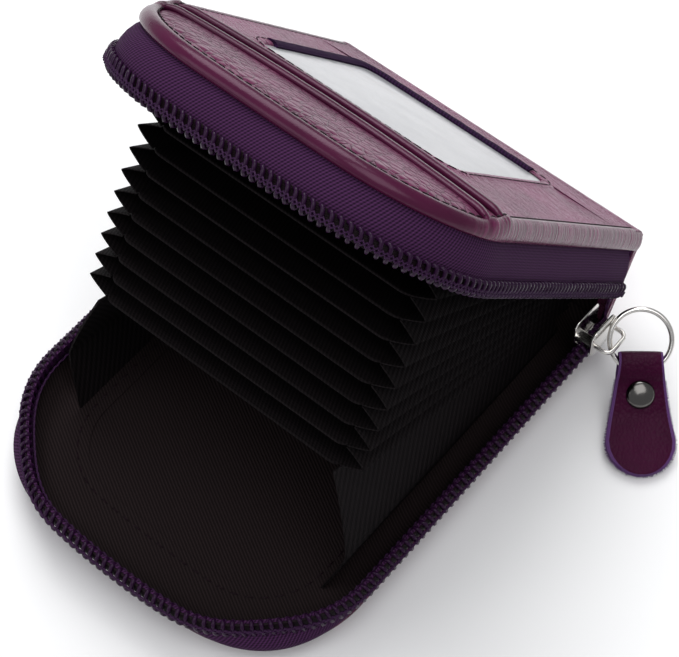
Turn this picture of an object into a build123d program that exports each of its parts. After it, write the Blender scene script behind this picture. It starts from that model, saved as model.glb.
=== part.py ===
from build123d import *
import os
from math import atan2, cos, degrees, radians, sin, tan

os.makedirs("parts", exist_ok=True)

# Zip-round card case, standing open on its back cover as it is used.
# X runs across the case, Y towards the spine, Z up. The mouth is at -Y.
# Origin: middle of the base, on the surface that the case lies on.

# Whole case
CASE_W = 76.0            # across, over the covers
CASE_D = 104.0           # from mouth to spine
THICK = 26.6             # closed, over both covers
MOUTH_R = 24.0           # round corners at the mouth
MOUTH_BOW = 1.6          # the mouth edge bows out by this much
CLEAR = 0.3              # running gap between pieces that move
OVERRUN = 20.0           # cuts run past the material by this much

# Rest pose, as the case stands open
SPINE_TILT = 23.0        # degrees the spine leans back
COVER_SWING = 27.0       # degrees the front cover turns on the spine
TOP_LEAF_SWING = 24.0    # degrees the highest leaf turns on the spine

# Covers
LEATHER = 1.4            # leather of the cover panels and the spine
BOARD = 1.2              # stiffener in each cover
LINING = 0.5             # lining cloth
RIM_H = 4.0              # bound edge round each cover
RIM_OUT = 0.8            # the rim stands out past the cover line
RIM_IN = 3.0             # and covers this much of the panel
RIM_ROUND = 1.5
PANEL_BEVEL = 0.5

# Zip
TAPE_T = 0.8             # woven tape
TAPE_FOOT_IN = 0.6       # tape centre inside the cover line at the rim
TAPE_FLARE = 2.0         # tape centre outside the cover line at the coil
TAPE_TURN_H = 7.6        # height where the tape stands upright again
COIL_H = 2.0             # coil row, measured across its height
COIL_W = 2.0
COIL_WIRE = 0.8          # one loop, measured along the zip
COIL_PITCH = 1.75        # from one loop to the next
HALF_STEP_SHARE = 0.5    # the first loop stands half a step in
CORD_W = 1.0             # core cord that the loops go round
CORD_H = 1.4
COIL_GAP = 1.4           # left between the two rows when the case is shut
TAPE_END_IN = 0.6        # the tape stops short of the covers at the spine

# Spine
FOLD_R = 1.2             # round roll at each fold of the spine
FOLD_Y = 51.0            # fold line, from the origin
SPINE_LINING_IN = 0.7    # spine lining stops short of the rolls
STRIP_T = 0.8            # binding strip that holds the accordion
STRIP_IN = 1.5

# Accordion
LEAF_COUNT = 11
LEAF_SIDE_ROOM = 9.0     # from the cover line to the edge of a leaf
LEAF_L = 80.0
LEAF_T = 0.5
LEAF_R = 2.5             # mouth corners of a leaf
LEAF_PITCH = 1.56
HEM_T = 0.9              # folded hem on the mouth edge
HEM_L = 2.2
PLEAT_T = 0.3            # cloth of the side pleats, measured straight up
PLEAT_OUT = 4.6          # pleat fold, outside the leaf edge
PLEAT_ROOT = 3.0         # pleats start this far from the leaf's root
PLEAT_SHORT = 1.0        # and end this far behind its mouth edge
PLEAT_EDGE_GAP = 0.25    # from the middle of a leaf to the cloth's edge
PLEAT_FOLD_SHARE = 0.5
WEB_T = 0.9              # measured straight up through its steep flanks
WEB_OUT = 6.4            # fold of the wide web, outside the leaf edge
WEB_FOOT_OUT = 2.6       # foot of the wide web, outside the leaf edge
WEB_FOLD_SHARE = 0.4     # height of the web's fold, of its whole height
WEB_ROOT = 6.0           # the web starts this far from the fold line

# Outside pockets and window on the front cover
POCKET_T = 1.1           # leather of each pocket layer
POCKET_1_Y = -28.0       # middle of the first folded edge
POCKET_2_Y = -22.5       # middle of the second folded edge
POCKET_BOW = 5.0         # the folded edges bow towards the spine
POCKET_ROLL = 1.15       # radius of a folded edge
ROLL_SIDES = 10
POCKET_1_IN = 0.9        # the layers step in from the cover line
POCKET_2_IN = 1.5
WINDOW_W = 47.0
WINDOW_L = 52.0
WINDOW_X = -3.0
WINDOW_Y = 11.0
WINDOW_R = 5.0
FILM_T = 0.3
BIND_W = 1.8             # binding tape along the film's far edge
BIND_T = 0.5

# Slider
SLIDER_L = 8.0
SLIDER_H = 7.8
SLIDER_T = 1.0           # each plate
SLIDER_GAP = 0.4         # between a plate and the coil
SLIDER_END = 0.6         # from the tape's end to the slider
SLIDER_ROUND = 0.8
FLANGE_T = 0.8
FLANGE_GAP = 0.3
WEDGE_L = 2.6
WEDGE_H = 0.8
ARCH_L = 7.0
ARCH_H = 3.9             # outside height over the plate
ARCH_IN_H = 3.0          # room under the arch
ARCH_LEG = 0.9
ARCH_W = 1.2
ARCH_ROUND = 1.2

# Pull ring and leather pull
RING_R = 6.2             # to the wire's centre line
WIRE_R = 0.55
WIRE_SIDES = 8
PULL_AZ = 39.0           # degrees, the way that the pull points
RING_SLOPE = 38.0        # degrees the ring hangs down
PULL_BEND = 26.0         # degrees the strap bends out flatter
PULL_BEND_R = 9.0
PULL_LAYER = 0.9         # each layer of the folded strap
PULL_FOLD = 4.25         # middle of the fold, below the ring's centre
PULL_LOOP = 1.15         # half the room inside the fold, at the top
PULL_LOOP_LOW = 0.87     # and beside the ring's lower edge
PULL_MEET = 1.4          # from the ring's lower edge to where the layers meet
PULL_STRAIGHT = 5.4      # from there to the bend
PULL_END = 10.0          # straight length after the bend
PULL_NECK = 8.8          # width at the fold
PULL_WIDE = 14.0         # width at the round end
PULL_CORNER = 1.2
RIVET_R = 2.5
RIVET_H = 0.9
RIVET_POST_R = 0.9
RIVET_SLACK = 0.02
RIVET_ON = 2.7           # from where the layers meet to the rivet
CAP_FLAT_SHARE = 0.55    # flat middle of a cap, of its radius
CAP_EDGE_SHARE = 0.4     # height of a cap's edge, of its height

# Worked out from the sizes above
HALF = THICK / 2
PANEL_IN = -RIM_IN
COVER_END = FOLD_Y - FOLD_R - CLEAR
TAPE_END = COVER_END - TAPE_END_IN
COIL_TOP = HALF - COIL_GAP / 2
TAPE_TOP = COIL_TOP - COIL_H
LINING_TOP = LEATHER + BOARD + LINING
LEAF_W = CASE_W - LEAF_SIDE_ROOM * 2
SPINE_L = THICK - FOLD_R * 2
PIVOT_IN = LEATHER / 2 + LINING + STRIP_T
FIRST_LEAF = (SPINE_L - (LEAF_COUNT - 1) * LEAF_PITCH) / 2
COVER_ANGLE = SPINE_TILT + COVER_SWING


def along(angle):
    """Direction from the spine to the mouth of a sheet that is open by this angle."""
    return Vector(0, -cos(radians(angle)), sin(radians(angle)))


def normal(angle):
    """Upward normal of a sheet that is open by this angle."""
    return Vector(0, sin(radians(angle)), cos(radians(angle)))


# Planes of the rest pose
LOW_FOLD = Vector(0, FOLD_Y, FOLD_R)
SPINE_UP = normal(SPINE_TILT)
SPINE_INWARD = along(SPINE_TILT)
HIGH_FOLD = LOW_FOLD + SPINE_UP * SPINE_L
BACK_HALF = Plane.XY
FRONT_AT = HIGH_FOLD + along(COVER_ANGLE) * FOLD_Y + normal(COVER_ANGLE) * FOLD_R
FRONT_HALF = Plane(origin=FRONT_AT, x_dir=(-1, 0, 0), z_dir=-normal(COVER_ANGLE))
FRONT_FACE = Plane(origin=FRONT_AT, x_dir=(1, 0, 0), z_dir=normal(COVER_ANGLE))
SPINE_SIDE = Plane(origin=LOW_FOLD, x_dir=SPINE_UP, z_dir=(1, 0, 0))


def leaf_angle(index):
    return SPINE_TILT + TOP_LEAF_SWING * index / (LEAF_COUNT - 1)


def leaf_pivot(index):
    height = FIRST_LEAF + index * LEAF_PITCH
    return LOW_FOLD + SPINE_UP * height + SPINE_INWARD * PIVOT_IN


def cover_outline(out, spine_y, mode=Mode.ADD):
    """Face of the cover's outline, moved out by this much, that ends at spine_y."""
    side = CASE_W / 2 + out
    mouth = -CASE_D / 2 - out
    with BuildLine(Plane.XY) as outline:
        Line((-side, spine_y), (side, spine_y))
        Line((side, spine_y), (side, mouth + MOUTH_BOW))
        ThreePointArc((side, mouth + MOUTH_BOW), (0, mouth), (-side, mouth + MOUTH_BOW))
        Line((-side, mouth + MOUTH_BOW), (-side, spine_y))
    corners = outline.vertices().group_by(Axis.Y)[0]
    rounded = Face(Wire(outline.edges())).fillet_2d(MOUTH_R + out, corners)
    add(rounded, mode=mode)


def wall_sections(plane, outs, levels, spine_y):
    """Outlines at these heights, each moved out by its own amount."""
    sections = []
    for out, level in zip(outs, levels):
        with BuildSketch(plane.offset(level)) as section:
            cover_outline(out, spine_y)
        sections.append(section.sketch)
    return sections


def save(part, label):
    part.label = label
    export_step(part, "parts/" + label + ".step")


# Places of the coil's loops, evenly along the zip from one end to the other
with BuildSketch(Plane.XY) as zip_line:
    cover_outline(TAPE_FLARE, TAPE_END)
zip_path = Wire(zip_line.edges().sort_by(Axis.Y)[:-1])
loop_count = int(zip_path.length / COIL_PITCH)
coil_places = []
for loop in range(loop_count):
    along_path = (loop + HALF_STEP_SHARE) / loop_count
    at = zip_path.position_at(along_path)
    way = zip_path.tangent_at(along_path)
    coil_places.append(Location((at.X, at.Y), degrees(atan2(way.Y, way.X))))


# Each half: cover panel, board, lining, rim, tape and coil row.
# A half's plane lies on its outer face, with its normal pointing into the case.
for side_name, half in (("back", BACK_HALF), ("front", FRONT_HALF)):
    with BuildPart() as cover_leather:
        with BuildSketch(half):
            cover_outline(PANEL_IN, COVER_END)
        extrude(amount=LEATHER)
        outer_face = cover_leather.faces().sort_by(Axis(half.origin, half.z_dir))[0]
        chamfer(outer_face.edges(), PANEL_BEVEL)
    save(cover_leather.part, side_name + "_cover_leather")

    with BuildPart() as cover_board:
        with BuildSketch(half.offset(LEATHER)):
            cover_outline(PANEL_IN, COVER_END)
        extrude(amount=BOARD)
    save(cover_board.part, side_name + "_cover_board")

    with BuildPart() as cover_lining:
        with BuildSketch(half.offset(LEATHER + BOARD)):
            cover_outline(PANEL_IN, COVER_END)
        extrude(amount=LINING)
    save(cover_lining.part, side_name + "_lining")

    with BuildPart() as rim:
        with BuildSketch(half):
            cover_outline(RIM_OUT, COVER_END)
        extrude(amount=RIM_H)
        top_and_bottom = rim.faces().sort_by(Axis(half.origin, half.z_dir))
        fillet(top_and_bottom[0].edges().sort_by(Axis.Y)[:-1], RIM_ROUND)
        with BuildSketch(half):
            cover_outline(PANEL_IN, COVER_END + OVERRUN)
        extrude(amount=RIM_H, mode=Mode.SUBTRACT)
    save(rim.part, side_name + "_rim")

    levels = (RIM_H, TAPE_TURN_H, TAPE_TOP)
    middles = (-TAPE_FOOT_IN, TAPE_FLARE, TAPE_FLARE)
    with BuildPart() as tape:
        outside = wall_sections(half, [m + TAPE_T / 2 for m in middles], levels, TAPE_END)
        loft(outside, ruled=True)
        inside = wall_sections(half, [m - TAPE_T / 2 for m in middles], levels, TAPE_END + OVERRUN)
        loft(inside, ruled=True, mode=Mode.SUBTRACT)
    save(tape.part, side_name + "_zip_tape")

    with BuildPart() as coil:
        with BuildSketch(half.offset(TAPE_TOP)):
            cover_outline(TAPE_FLARE + CORD_W / 2, TAPE_END)
            cover_outline(TAPE_FLARE - CORD_W / 2, TAPE_END + OVERRUN, Mode.SUBTRACT)
        extrude(amount=CORD_H)
        with BuildSketch(half.offset(TAPE_TOP)):
            with Locations(*coil_places):
                Rectangle(COIL_WIRE, COIL_W)
        extrude(amount=COIL_H)
    save(coil.part, side_name + "_zip_coil")


# Spine: one leather panel with a round roll along each fold
with BuildPart() as spine_leather:
    with BuildSketch(SPINE_SIDE):
        with Locations((SPINE_L / 2, 0)):
            Rectangle(SPINE_L, LEATHER)
        with Locations((0, 0), (SPINE_L, 0)):
            Circle(FOLD_R)
    extrude(amount=CASE_W / 2, both=True)
save(spine_leather.part, "spine_leather")

with BuildPart() as spine_lining:
    with BuildSketch(SPINE_SIDE):
        with Locations((SPINE_L / 2, LEATHER / 2 + LINING / 2)):
            Rectangle(SPINE_L - (FOLD_R + SPINE_LINING_IN) * 2, LINING)
    extrude(amount=CASE_W / 2 - RIM_IN, both=True)
save(spine_lining.part, "spine_lining")

with BuildPart() as accordion_strip:
    with BuildSketch(SPINE_SIDE):
        with Locations((SPINE_L / 2, PIVOT_IN - STRIP_T / 2)):
            Rectangle(SPINE_L - (FOLD_R + STRIP_IN) * 2, STRIP_T)
    extrude(amount=LEAF_W / 2, both=True)
save(accordion_strip.part, "accordion_strip")


# Accordion leaves, fanned out from the spine
for index in range(LEAF_COUNT):
    leaf_plane = Plane(origin=leaf_pivot(index), x_dir=(1, 0, 0), z_dir=normal(leaf_angle(index)))
    with BuildPart() as leaf:
        with BuildSketch(leaf_plane.offset(-LEAF_T / 2)):
            with Locations((0, -(LEAF_L + CLEAR) / 2)):
                Rectangle(LEAF_W, LEAF_L - CLEAR)
            fillet(vertices().group_by(Axis.Y)[0], LEAF_R)
        extrude(amount=LEAF_T)
        with BuildSketch(leaf_plane.offset(-HEM_T / 2)):
            with Locations((0, HEM_L / 2 - LEAF_L)):
                Rectangle(LEAF_W - LEAF_R * 2, HEM_L)
        extrude(amount=HEM_T)
    save(leaf.part, f"leaf_{index + 1:02d}")


def gap_ends(reach, low_at, low_angle, high_at, high_angle):
    """Plane across the gap between two sheets at this reach, with both sheets' heights on it."""
    middle_angle = (low_angle + high_angle) / 2
    start = (low_at + high_at) / 2
    across = Plane(
        origin=start + along(middle_angle) * reach,
        x_dir=(1, 0, 0),
        z_dir=along(middle_angle),
    )
    heights = []
    for at, angle in ((low_at, low_angle), (high_at, high_angle)):
        foot = across.to_local_coords(at)
        heights.append(foot.Y - foot.Z * tan(radians(angle - middle_angle)))
    return across, heights[0], heights[1]


def cloth_fold(reaches, low_sheet, high_sheet, side, foot_out, fold_out, fold_share, gap, cloth):
    """One V of folded cloth between two sheets, from its end at the mouth to its end at the spine.

    Its flanks are flat, so the fold draws in towards the spine."""
    edge = LEAF_W / 2 + CLEAR
    ends = []
    for reach in reaches:
        across, low, high = gap_ends(reach, *low_sheet, *high_sheet)
        fold = low + (high - low) * fold_share
        lower_rise = fold - low - gap - cloth / 2
        upper_rise = high - fold - gap - cloth / 2
        if not ends:
            upper_run = fold_out / upper_rise
            lower_run = (fold_out - foot_out) / lower_rise
        fold_x = edge + upper_rise * upper_run
        foot_x = fold_x - lower_rise * lower_run
        lift = cloth / 2 * (lower_run - upper_run) / (lower_run + upper_run)
        inner_x = fold_x - upper_run * (cloth / 2 + lift)
        corners = (
            (foot_x, low + gap),
            (fold_x, fold - cloth / 2),
            (fold_x, fold + cloth / 2),
            (edge, high - gap),
            (edge, high - gap - cloth),
            (inner_x, fold + lift),
            (foot_x, low + gap + cloth),
        )
        ends.append([across.from_local_coords(Vector(side * x, y, 0)) for x, y in corners])
    mouth_end, spine_end = ends
    faces = [Face(Wire.make_polygon(end)) for end in ends]
    for k in range(len(mouth_end)):
        flank = (mouth_end[k - 1], mouth_end[k], spine_end[k], spine_end[k - 1])
        faces.append(Face(Wire.make_polygon(flank)))
    return Solid(Shell(faces))


# Side pleats between neighbouring leaves, and from the top leaf to the front lining
front_lining_at = FRONT_AT - along(COVER_ANGLE) * COVER_END - normal(COVER_ANGLE) * LINING_TOP
sheets = [(leaf_pivot(i), leaf_angle(i)) for i in range(LEAF_COUNT)]
sheets.append((front_lining_at, COVER_ANGLE))
pleat_reaches = (LEAF_L - PLEAT_SHORT, PLEAT_ROOT)
for side_name, side in (("right", 1), ("left", -1)):
    with BuildPart() as pleats:
        for low_sheet, high_sheet in zip(sheets, sheets[1:]):
            add(cloth_fold(pleat_reaches, low_sheet, high_sheet, side, 0, PLEAT_OUT,
                           PLEAT_FOLD_SHARE, PLEAT_EDGE_GAP, PLEAT_T))
    save(pleats.part, side_name + "_pleats")

# Wide webs that close the sides of the cash compartment under the lowest leaf
floor_sheet = (Vector(0, COVER_END, LINING_TOP), 0)
web_reaches = (LEAF_L - PLEAT_SHORT, WEB_ROOT)
for side_name, side in (("right", 1), ("left", -1)):
    with BuildPart() as web:
        add(cloth_fold(web_reaches, floor_sheet, sheets[0], side, WEB_FOOT_OUT, WEB_OUT,
                       WEB_FOLD_SHARE, CLEAR, WEB_T))
    save(web.part, side_name + "_cash_web")


# Two slip pockets on the front cover, each with a folded, bowed edge towards the mouth
for label, level, edge_y, inset, window in (
    ("slip_pocket_1", 0, POCKET_1_Y, POCKET_1_IN, False),
    ("slip_pocket_2", POCKET_T, POCKET_2_Y, POCKET_2_IN, True),
):
    reach = CASE_W / 2
    past_mouth = -CASE_D / 2 - OVERRUN
    edge_end_y = edge_y - POCKET_BOW
    with BuildPart() as pocket:
        with BuildSketch(FRONT_FACE.offset(level)):
            cover_outline(-inset, COVER_END)
            with BuildLine():
                Polyline((-reach, edge_end_y), (-reach, past_mouth), (reach, past_mouth), (reach, edge_end_y))
                ThreePointArc((reach, edge_end_y), (0, edge_y), (-reach, edge_end_y))
            make_face(mode=Mode.SUBTRACT)
            if window:
                with Locations((WINDOW_X, WINDOW_Y)):
                    RectangleRounded(WINDOW_W, WINDOW_L, WINDOW_R, mode=Mode.SUBTRACT)
        extrude(amount=POCKET_T)
        end = CASE_W / 2 - inset - POCKET_ROLL
        with BuildLine(FRONT_FACE.offset(level + POCKET_ROLL)) as edge_line:
            ThreePointArc((end, edge_end_y), (0, edge_y), (-end, edge_end_y))
        with BuildSketch(Plane(origin=edge_line.line @ 0, z_dir=edge_line.line % 0)):
            RegularPolygon(POCKET_ROLL, ROLL_SIDES)
        sweep(path=edge_line.line)
    save(pocket.part, label)

with BuildPart() as window_film:
    with BuildSketch(FRONT_FACE.offset(POCKET_T)):
        with Locations((WINDOW_X, WINDOW_Y)):
            RectangleRounded(WINDOW_W, WINDOW_L, WINDOW_R)
    extrude(amount=FILM_T)
save(window_film.part, "window_film")

with BuildPart() as window_binding:
    with BuildSketch(FRONT_FACE.offset(POCKET_T + FILM_T)):
        with Locations((WINDOW_X, WINDOW_Y + WINDOW_L / 2 - BIND_W / 2)):
            Rectangle(WINDOW_W - WINDOW_R * 2, BIND_W)
    extrude(amount=BIND_T)
save(window_binding.part, "window_binding")


# Slider: two plates joined by a wedge between the rows, open at the top so that the
# upper row can leave it, with an arch for the ring
slider_y = TAPE_END - SLIDER_END - SLIDER_L / 2
row_x = CASE_W / 2 + TAPE_FLARE
inner_x = row_x - COIL_W / 2 - SLIDER_GAP
outer_x = row_x + COIL_W / 2 + SLIDER_GAP
arch_x = outer_x + SLIDER_T
with BuildPart() as slider_body:
    for plate_x in (inner_x - SLIDER_T, outer_x):
        with BuildSketch(Plane.YZ.offset(plate_x)):
            with Locations((slider_y, HALF)):
                RectangleRounded(SLIDER_L, SLIDER_H, SLIDER_ROUND)
        extrude(amount=SLIDER_T)
    with BuildSketch(Plane.YZ.offset(inner_x)):
        with Locations((slider_y - SLIDER_L / 2 + WEDGE_L / 2, HALF)):
            SlotOverall(WEDGE_L, WEDGE_H)
    extrude(amount=outer_x - inner_x)
    flange_z = HALF - SLIDER_H / 2
    flange_in = row_x - TAPE_T / 2 - FLANGE_GAP
    flange_out = row_x + TAPE_T / 2 + FLANGE_GAP
    with BuildSketch(Plane.XY.offset(flange_z)):
        for low_x, high_x in ((inner_x, flange_in), (flange_out, outer_x)):
            with Locations(((low_x + high_x) / 2, slider_y)):
                Rectangle(high_x - low_x, SLIDER_L - SLIDER_ROUND * 2)
    extrude(amount=FLANGE_T)
save(slider_body.part, "slider_body")

with BuildPart() as slider_arch:
    with BuildSketch(Plane.XY.offset(HALF - ARCH_W / 2)):
        with Locations((arch_x + ARCH_H / 2, slider_y)):
            Rectangle(ARCH_H, ARCH_L)
        fillet(vertices().group_by(Axis.X)[-1], ARCH_ROUND)
        with Locations((arch_x + ARCH_IN_H / 2, slider_y)):
            Rectangle(ARCH_IN_H, ARCH_L - ARCH_LEG * 2, mode=Mode.SUBTRACT)
    extrude(amount=ARCH_W)
save(slider_arch.part, "slider_arch")


# Pull: an oval wire ring through the arch, and a folded leather strap on the ring
outward = Vector(cos(radians(PULL_AZ)), sin(radians(PULL_AZ)), 0)
facing = Vector(sin(radians(PULL_AZ)), -cos(radians(PULL_AZ)), 0)
ring_down = facing * cos(radians(RING_SLOPE)) - Vector(0, 0, sin(radians(RING_SLOPE)))
ring_normal = facing * sin(radians(RING_SLOPE)) + Vector(0, 0, cos(radians(RING_SLOPE)))
arch_hole = Vector(arch_x + ARCH_IN_H / 2, slider_y, HALF)
ring_at = arch_hole + outward * RING_R
RING_PLANE = Plane(origin=ring_at, x_dir=outward, z_dir=ring_normal)
with BuildPart() as pull_ring:
    with BuildSketch(Plane(origin=ring_at, x_dir=outward, z_dir=ring_down)):
        with Locations((RING_R, 0)):
            RegularPolygon(WIRE_R, WIRE_SIDES)
    revolve(axis=Axis(ring_at, ring_normal))
save(pull_ring.part, "pull_ring")

# The strap is drawn from the side, with its first axis down the ring and its second out of it
STRAP_SIDE = Plane(origin=ring_at, x_dir=ring_down, z_dir=-outward)
ring_low = RING_R + WIRE_R
meet = ring_low + PULL_MEET
bend_at = meet + PULL_STRAIGHT
bend = radians(PULL_BEND)
bend_end = (bend_at + PULL_BEND_R * sin(bend), PULL_BEND_R * (1 - cos(bend)))
bend_middle = (bend_at + PULL_BEND_R * sin(bend / 2), PULL_BEND_R * (1 - cos(bend / 2)))
tip = (bend_end[0] + PULL_END * cos(bend), bend_end[1] + PULL_END * sin(bend))
loop_out = PULL_LOOP + PULL_LAYER
low_out = PULL_LOOP_LOW + PULL_LAYER
with BuildPart() as pull_strap:
    with BuildSketch(STRAP_SIDE):
        with BuildLine():
            Polyline((PULL_FOLD, loop_out), (ring_low, low_out), (meet, PULL_LAYER),
                     (bend_at, PULL_LAYER), (bend_at, -PULL_LAYER), (meet, -PULL_LAYER),
                     (ring_low, -low_out), (PULL_FOLD, -loop_out))
            ThreePointArc((PULL_FOLD, -loop_out), (PULL_FOLD - loop_out, 0), (PULL_FOLD, loop_out))
        make_face()
        with BuildLine():
            Polyline((PULL_FOLD, PULL_LOOP), (ring_low, PULL_LOOP_LOW), (meet, 0),
                     (ring_low, -PULL_LOOP_LOW), (PULL_FOLD, -PULL_LOOP))
            ThreePointArc((PULL_FOLD, -PULL_LOOP), (PULL_FOLD - PULL_LOOP, 0), (PULL_FOLD, PULL_LOOP))
        make_face(mode=Mode.SUBTRACT)
        with BuildLine():
            ThreePointArc((bend_at, 0), bend_middle, bend_end)
            Line(bend_end, tip)
        trace(line_width=PULL_LAYER * 2)
    extrude(amount=OVERRUN, both=True)
    with BuildSketch(RING_PLANE):
        with Locations((PULL_CORNER - PULL_NECK / 2, loop_out - PULL_FOLD - PULL_CORNER),
                       (PULL_NECK / 2 - PULL_CORNER, loop_out - PULL_FOLD - PULL_CORNER)):
            Circle(PULL_CORNER)
        with Locations((0, PULL_WIDE / 2 - tip[0])):
            Circle(PULL_WIDE / 2)
        make_hull()
    extrude(amount=OVERRUN, both=True, mode=Mode.INTERSECT)
    rivet_at = ring_at + ring_down * (meet + RIVET_ON)
    with BuildSketch(Plane(origin=rivet_at, x_dir=outward, z_dir=ring_normal)):
        Circle(RIVET_POST_R + RIVET_SLACK)
    extrude(amount=PULL_LAYER * 2, both=True, mode=Mode.SUBTRACT)
save(pull_strap.part, "pull_strap")

# Rivet through both layers, turned about its own axis
cap_top = PULL_LAYER + RIVET_H
cap_edge = PULL_LAYER + RIVET_H * CAP_EDGE_SHARE
flat_r = RIVET_R * CAP_FLAT_SHARE
with BuildPart() as pull_rivet:
    with BuildSketch(Plane(origin=rivet_at, x_dir=outward, z_dir=ring_down)):
        Polygon((0, cap_top), (flat_r, cap_top), (RIVET_R, cap_edge), (RIVET_R, PULL_LAYER),
                (RIVET_POST_R, PULL_LAYER), (RIVET_POST_R, -PULL_LAYER), (RIVET_R, -PULL_LAYER),
                (RIVET_R, -cap_edge), (flat_r, -cap_top), (0, -cap_top), align=None)
    revolve(axis=Axis(rivet_at, ring_normal))
save(pull_rivet.part, "pull_rivet")
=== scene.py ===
import math
from bisect import bisect_left

import bmesh
import bpy
from mathutils import Matrix, Vector, noise


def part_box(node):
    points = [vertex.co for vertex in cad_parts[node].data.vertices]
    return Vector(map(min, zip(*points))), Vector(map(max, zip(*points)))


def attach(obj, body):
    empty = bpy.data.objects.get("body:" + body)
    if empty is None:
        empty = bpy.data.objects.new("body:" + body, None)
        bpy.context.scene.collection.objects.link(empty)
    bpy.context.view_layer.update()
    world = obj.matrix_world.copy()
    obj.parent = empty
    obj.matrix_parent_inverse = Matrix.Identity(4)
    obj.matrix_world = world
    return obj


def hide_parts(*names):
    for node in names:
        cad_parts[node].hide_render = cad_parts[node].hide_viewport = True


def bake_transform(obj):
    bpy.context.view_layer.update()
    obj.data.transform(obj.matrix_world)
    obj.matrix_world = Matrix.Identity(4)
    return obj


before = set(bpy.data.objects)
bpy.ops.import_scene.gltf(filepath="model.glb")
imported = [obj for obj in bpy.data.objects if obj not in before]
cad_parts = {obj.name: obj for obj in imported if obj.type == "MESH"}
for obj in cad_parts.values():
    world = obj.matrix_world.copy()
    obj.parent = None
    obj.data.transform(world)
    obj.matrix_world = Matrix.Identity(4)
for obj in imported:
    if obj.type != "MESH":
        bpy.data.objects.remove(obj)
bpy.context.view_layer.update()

# The case, in metres as in the part's source: y runs to the spine, z up from the back cover
HALF_W = 0.038
HALF_D = 0.052
MOUTH_R = 0.024          # round corners of the covers at the mouth
MOUTH_BOW = 0.0016       # how far the mouth's edge bows out
COVER_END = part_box("back_cover_leather")[1].y
TAPE_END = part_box("back_zip_tape")[1].y
RIM_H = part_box("back_rim")[1].z
LINING_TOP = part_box("back_lining")[1].z
COIL_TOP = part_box("back_zip_coil")[1].z
FOLD_R = 0.0012
FOLD_Y = 0.051
SPINE_H = 0.0242         # from the lower fold to the upper one
SPINE_TILT = 23.0        # degrees
COVER_ANGLE = 50.0       # degrees
LEATHER_T = 0.0005       # of the leather led over the upper fold
LINING_T = 0.0003
LINING_LIFT = 0.0002     # of a piece that lies on the lining
SEAM_STITCH_R = 0.00013
ROW_COUNT = 38           # spaces between the rows of a piece led across the case

# Zip
TAPE_T = 0.0006
TAPE_BELLY = {"back": 0.0028, "front": 0.0008}     # at the mouth's corners
FLARE_MOUTH = {"back": 0.0031, "front": 0.0014}    # coil outside the cover line at the mouth
FLARE_DIP = {"back": 0.0027, "front": 0.0}         # less than that at the mouth's corners
FLARE_SLIDER = 0.0020    # coil outside the cover line beside the slider
FLARE_FROM = -0.044      # where the flare at the mouth begins to change to the one at the slider
FLARE_RUN = 0.024
CORNER_X = 0.0305        # middle of a mouth corner
CORNER_Y = -0.0445
CORNER_SPREAD = 0.013
STRIP_STEP = 0.0012      # between the rows of a strip led along the edge
TURN_PITCH = 0.00175
TURN_H = 0.0030          # height of a coil turn on the tape
TURN_T = 0.0015          # thickness of a coil turn
MONOFIL_R = 0.00043
COIL_FOOT = COIL_TOP - MONOFIL_R - TURN_H
CORD_R = 0.000416
THREAD_R = 0.00023
HEM_R = 0.00024
HEM_H = 0.0089
GUSSET_T = 0.0005        # of the short webs of tape at the zip's ends
STRAND_SIDES = 6

# Rim and cover panels
RIM_STEP = 0.0010
FRONT_PUFF = 0.0004      # the front rim stands higher than the back one
POCKET_LIFT = 0.0010     # and is wrapped up this much more over the pocket layers
LIFT_FROM = -0.0350
LIFT_RUN = 0.0075
POCKET_ENDS = (-0.0322, -0.0268)
END_SWELL = 0.0004       # of the rim, over each pocket's end
END_SPREAD = 0.0010
PANEL_IN = 0.0017        # panel's edge inside the cover line
PANEL_T = 0.0006
PANEL_EDGE_H = 0.0010
PANEL_POINTS = 150
PANEL_LEVEL = {"back": 0.00072, "front": 0.0003}
PANEL_CROWN = {"back": 0.00004, "front": 0.0007}

# Slip pockets and window on the front cover
POCKET_T = 0.00055       # each pocket layer, as pressed flat under the rim
POCKET_TOP = POCKET_T * 2
POCKET_BOW = 0.005
POCKET_EDGE_1 = -0.028
POCKET_EDGE_2 = -0.0225
ROLL_HALF_W = 0.0013
ROLL_HALF_H = 0.00085
ROLL_LIFT = 0.0009
ROLL_SIDES = 14
ROLL_COUNT = 60          # spaces between the rolls' rows
WINDOW_AT = Vector((0.003, 0.011))
WINDOW_HALF_W = 0.0235
WINDOW_HALF_L = 0.026
WINDOW_R = 0.005
FILM_HALF_W = 0.0237
FILM_HALF_L = 0.0262
FILM_T = 0.00025
FILM_LIFT = 0.0003
FILM_BULGE = 0.0007
BINDING_FROM = 0.003     # along the window's outline

# Accordion
LEAF_COUNT = 11
LEAF_HALF_W = 0.029
LEAF_L = 0.080
LEAF_T = 0.00042
LEAF_CORNER_R = 0.0025
LEAF_HEM = 0.0026
LEAF_PITCH = 0.00156
TOP_LEAF_SWING = 24.0    # degrees
FIRST_LEAF = 0.0043
PIVOT_IN = 0.0020
MOUTH_GAP = 0.001        # from a leaf's mouth edge to where its pleat ends
PLEAT_OUT = 0.0046
PLEAT_T = 0.00022
WEB_OUT = 0.0064
WEB_FOOT_OUT = 0.0026
WEB_T = 0.0004
CLOTH_LAP = 0.0002       # how far a pleat laps over the leaf it is sewn to
FOLD_GAP = 0.0002        # from a leaf's middle to the pleat's edge
FOLD_ROWS = 14           # spaces between a pleat's rows

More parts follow.
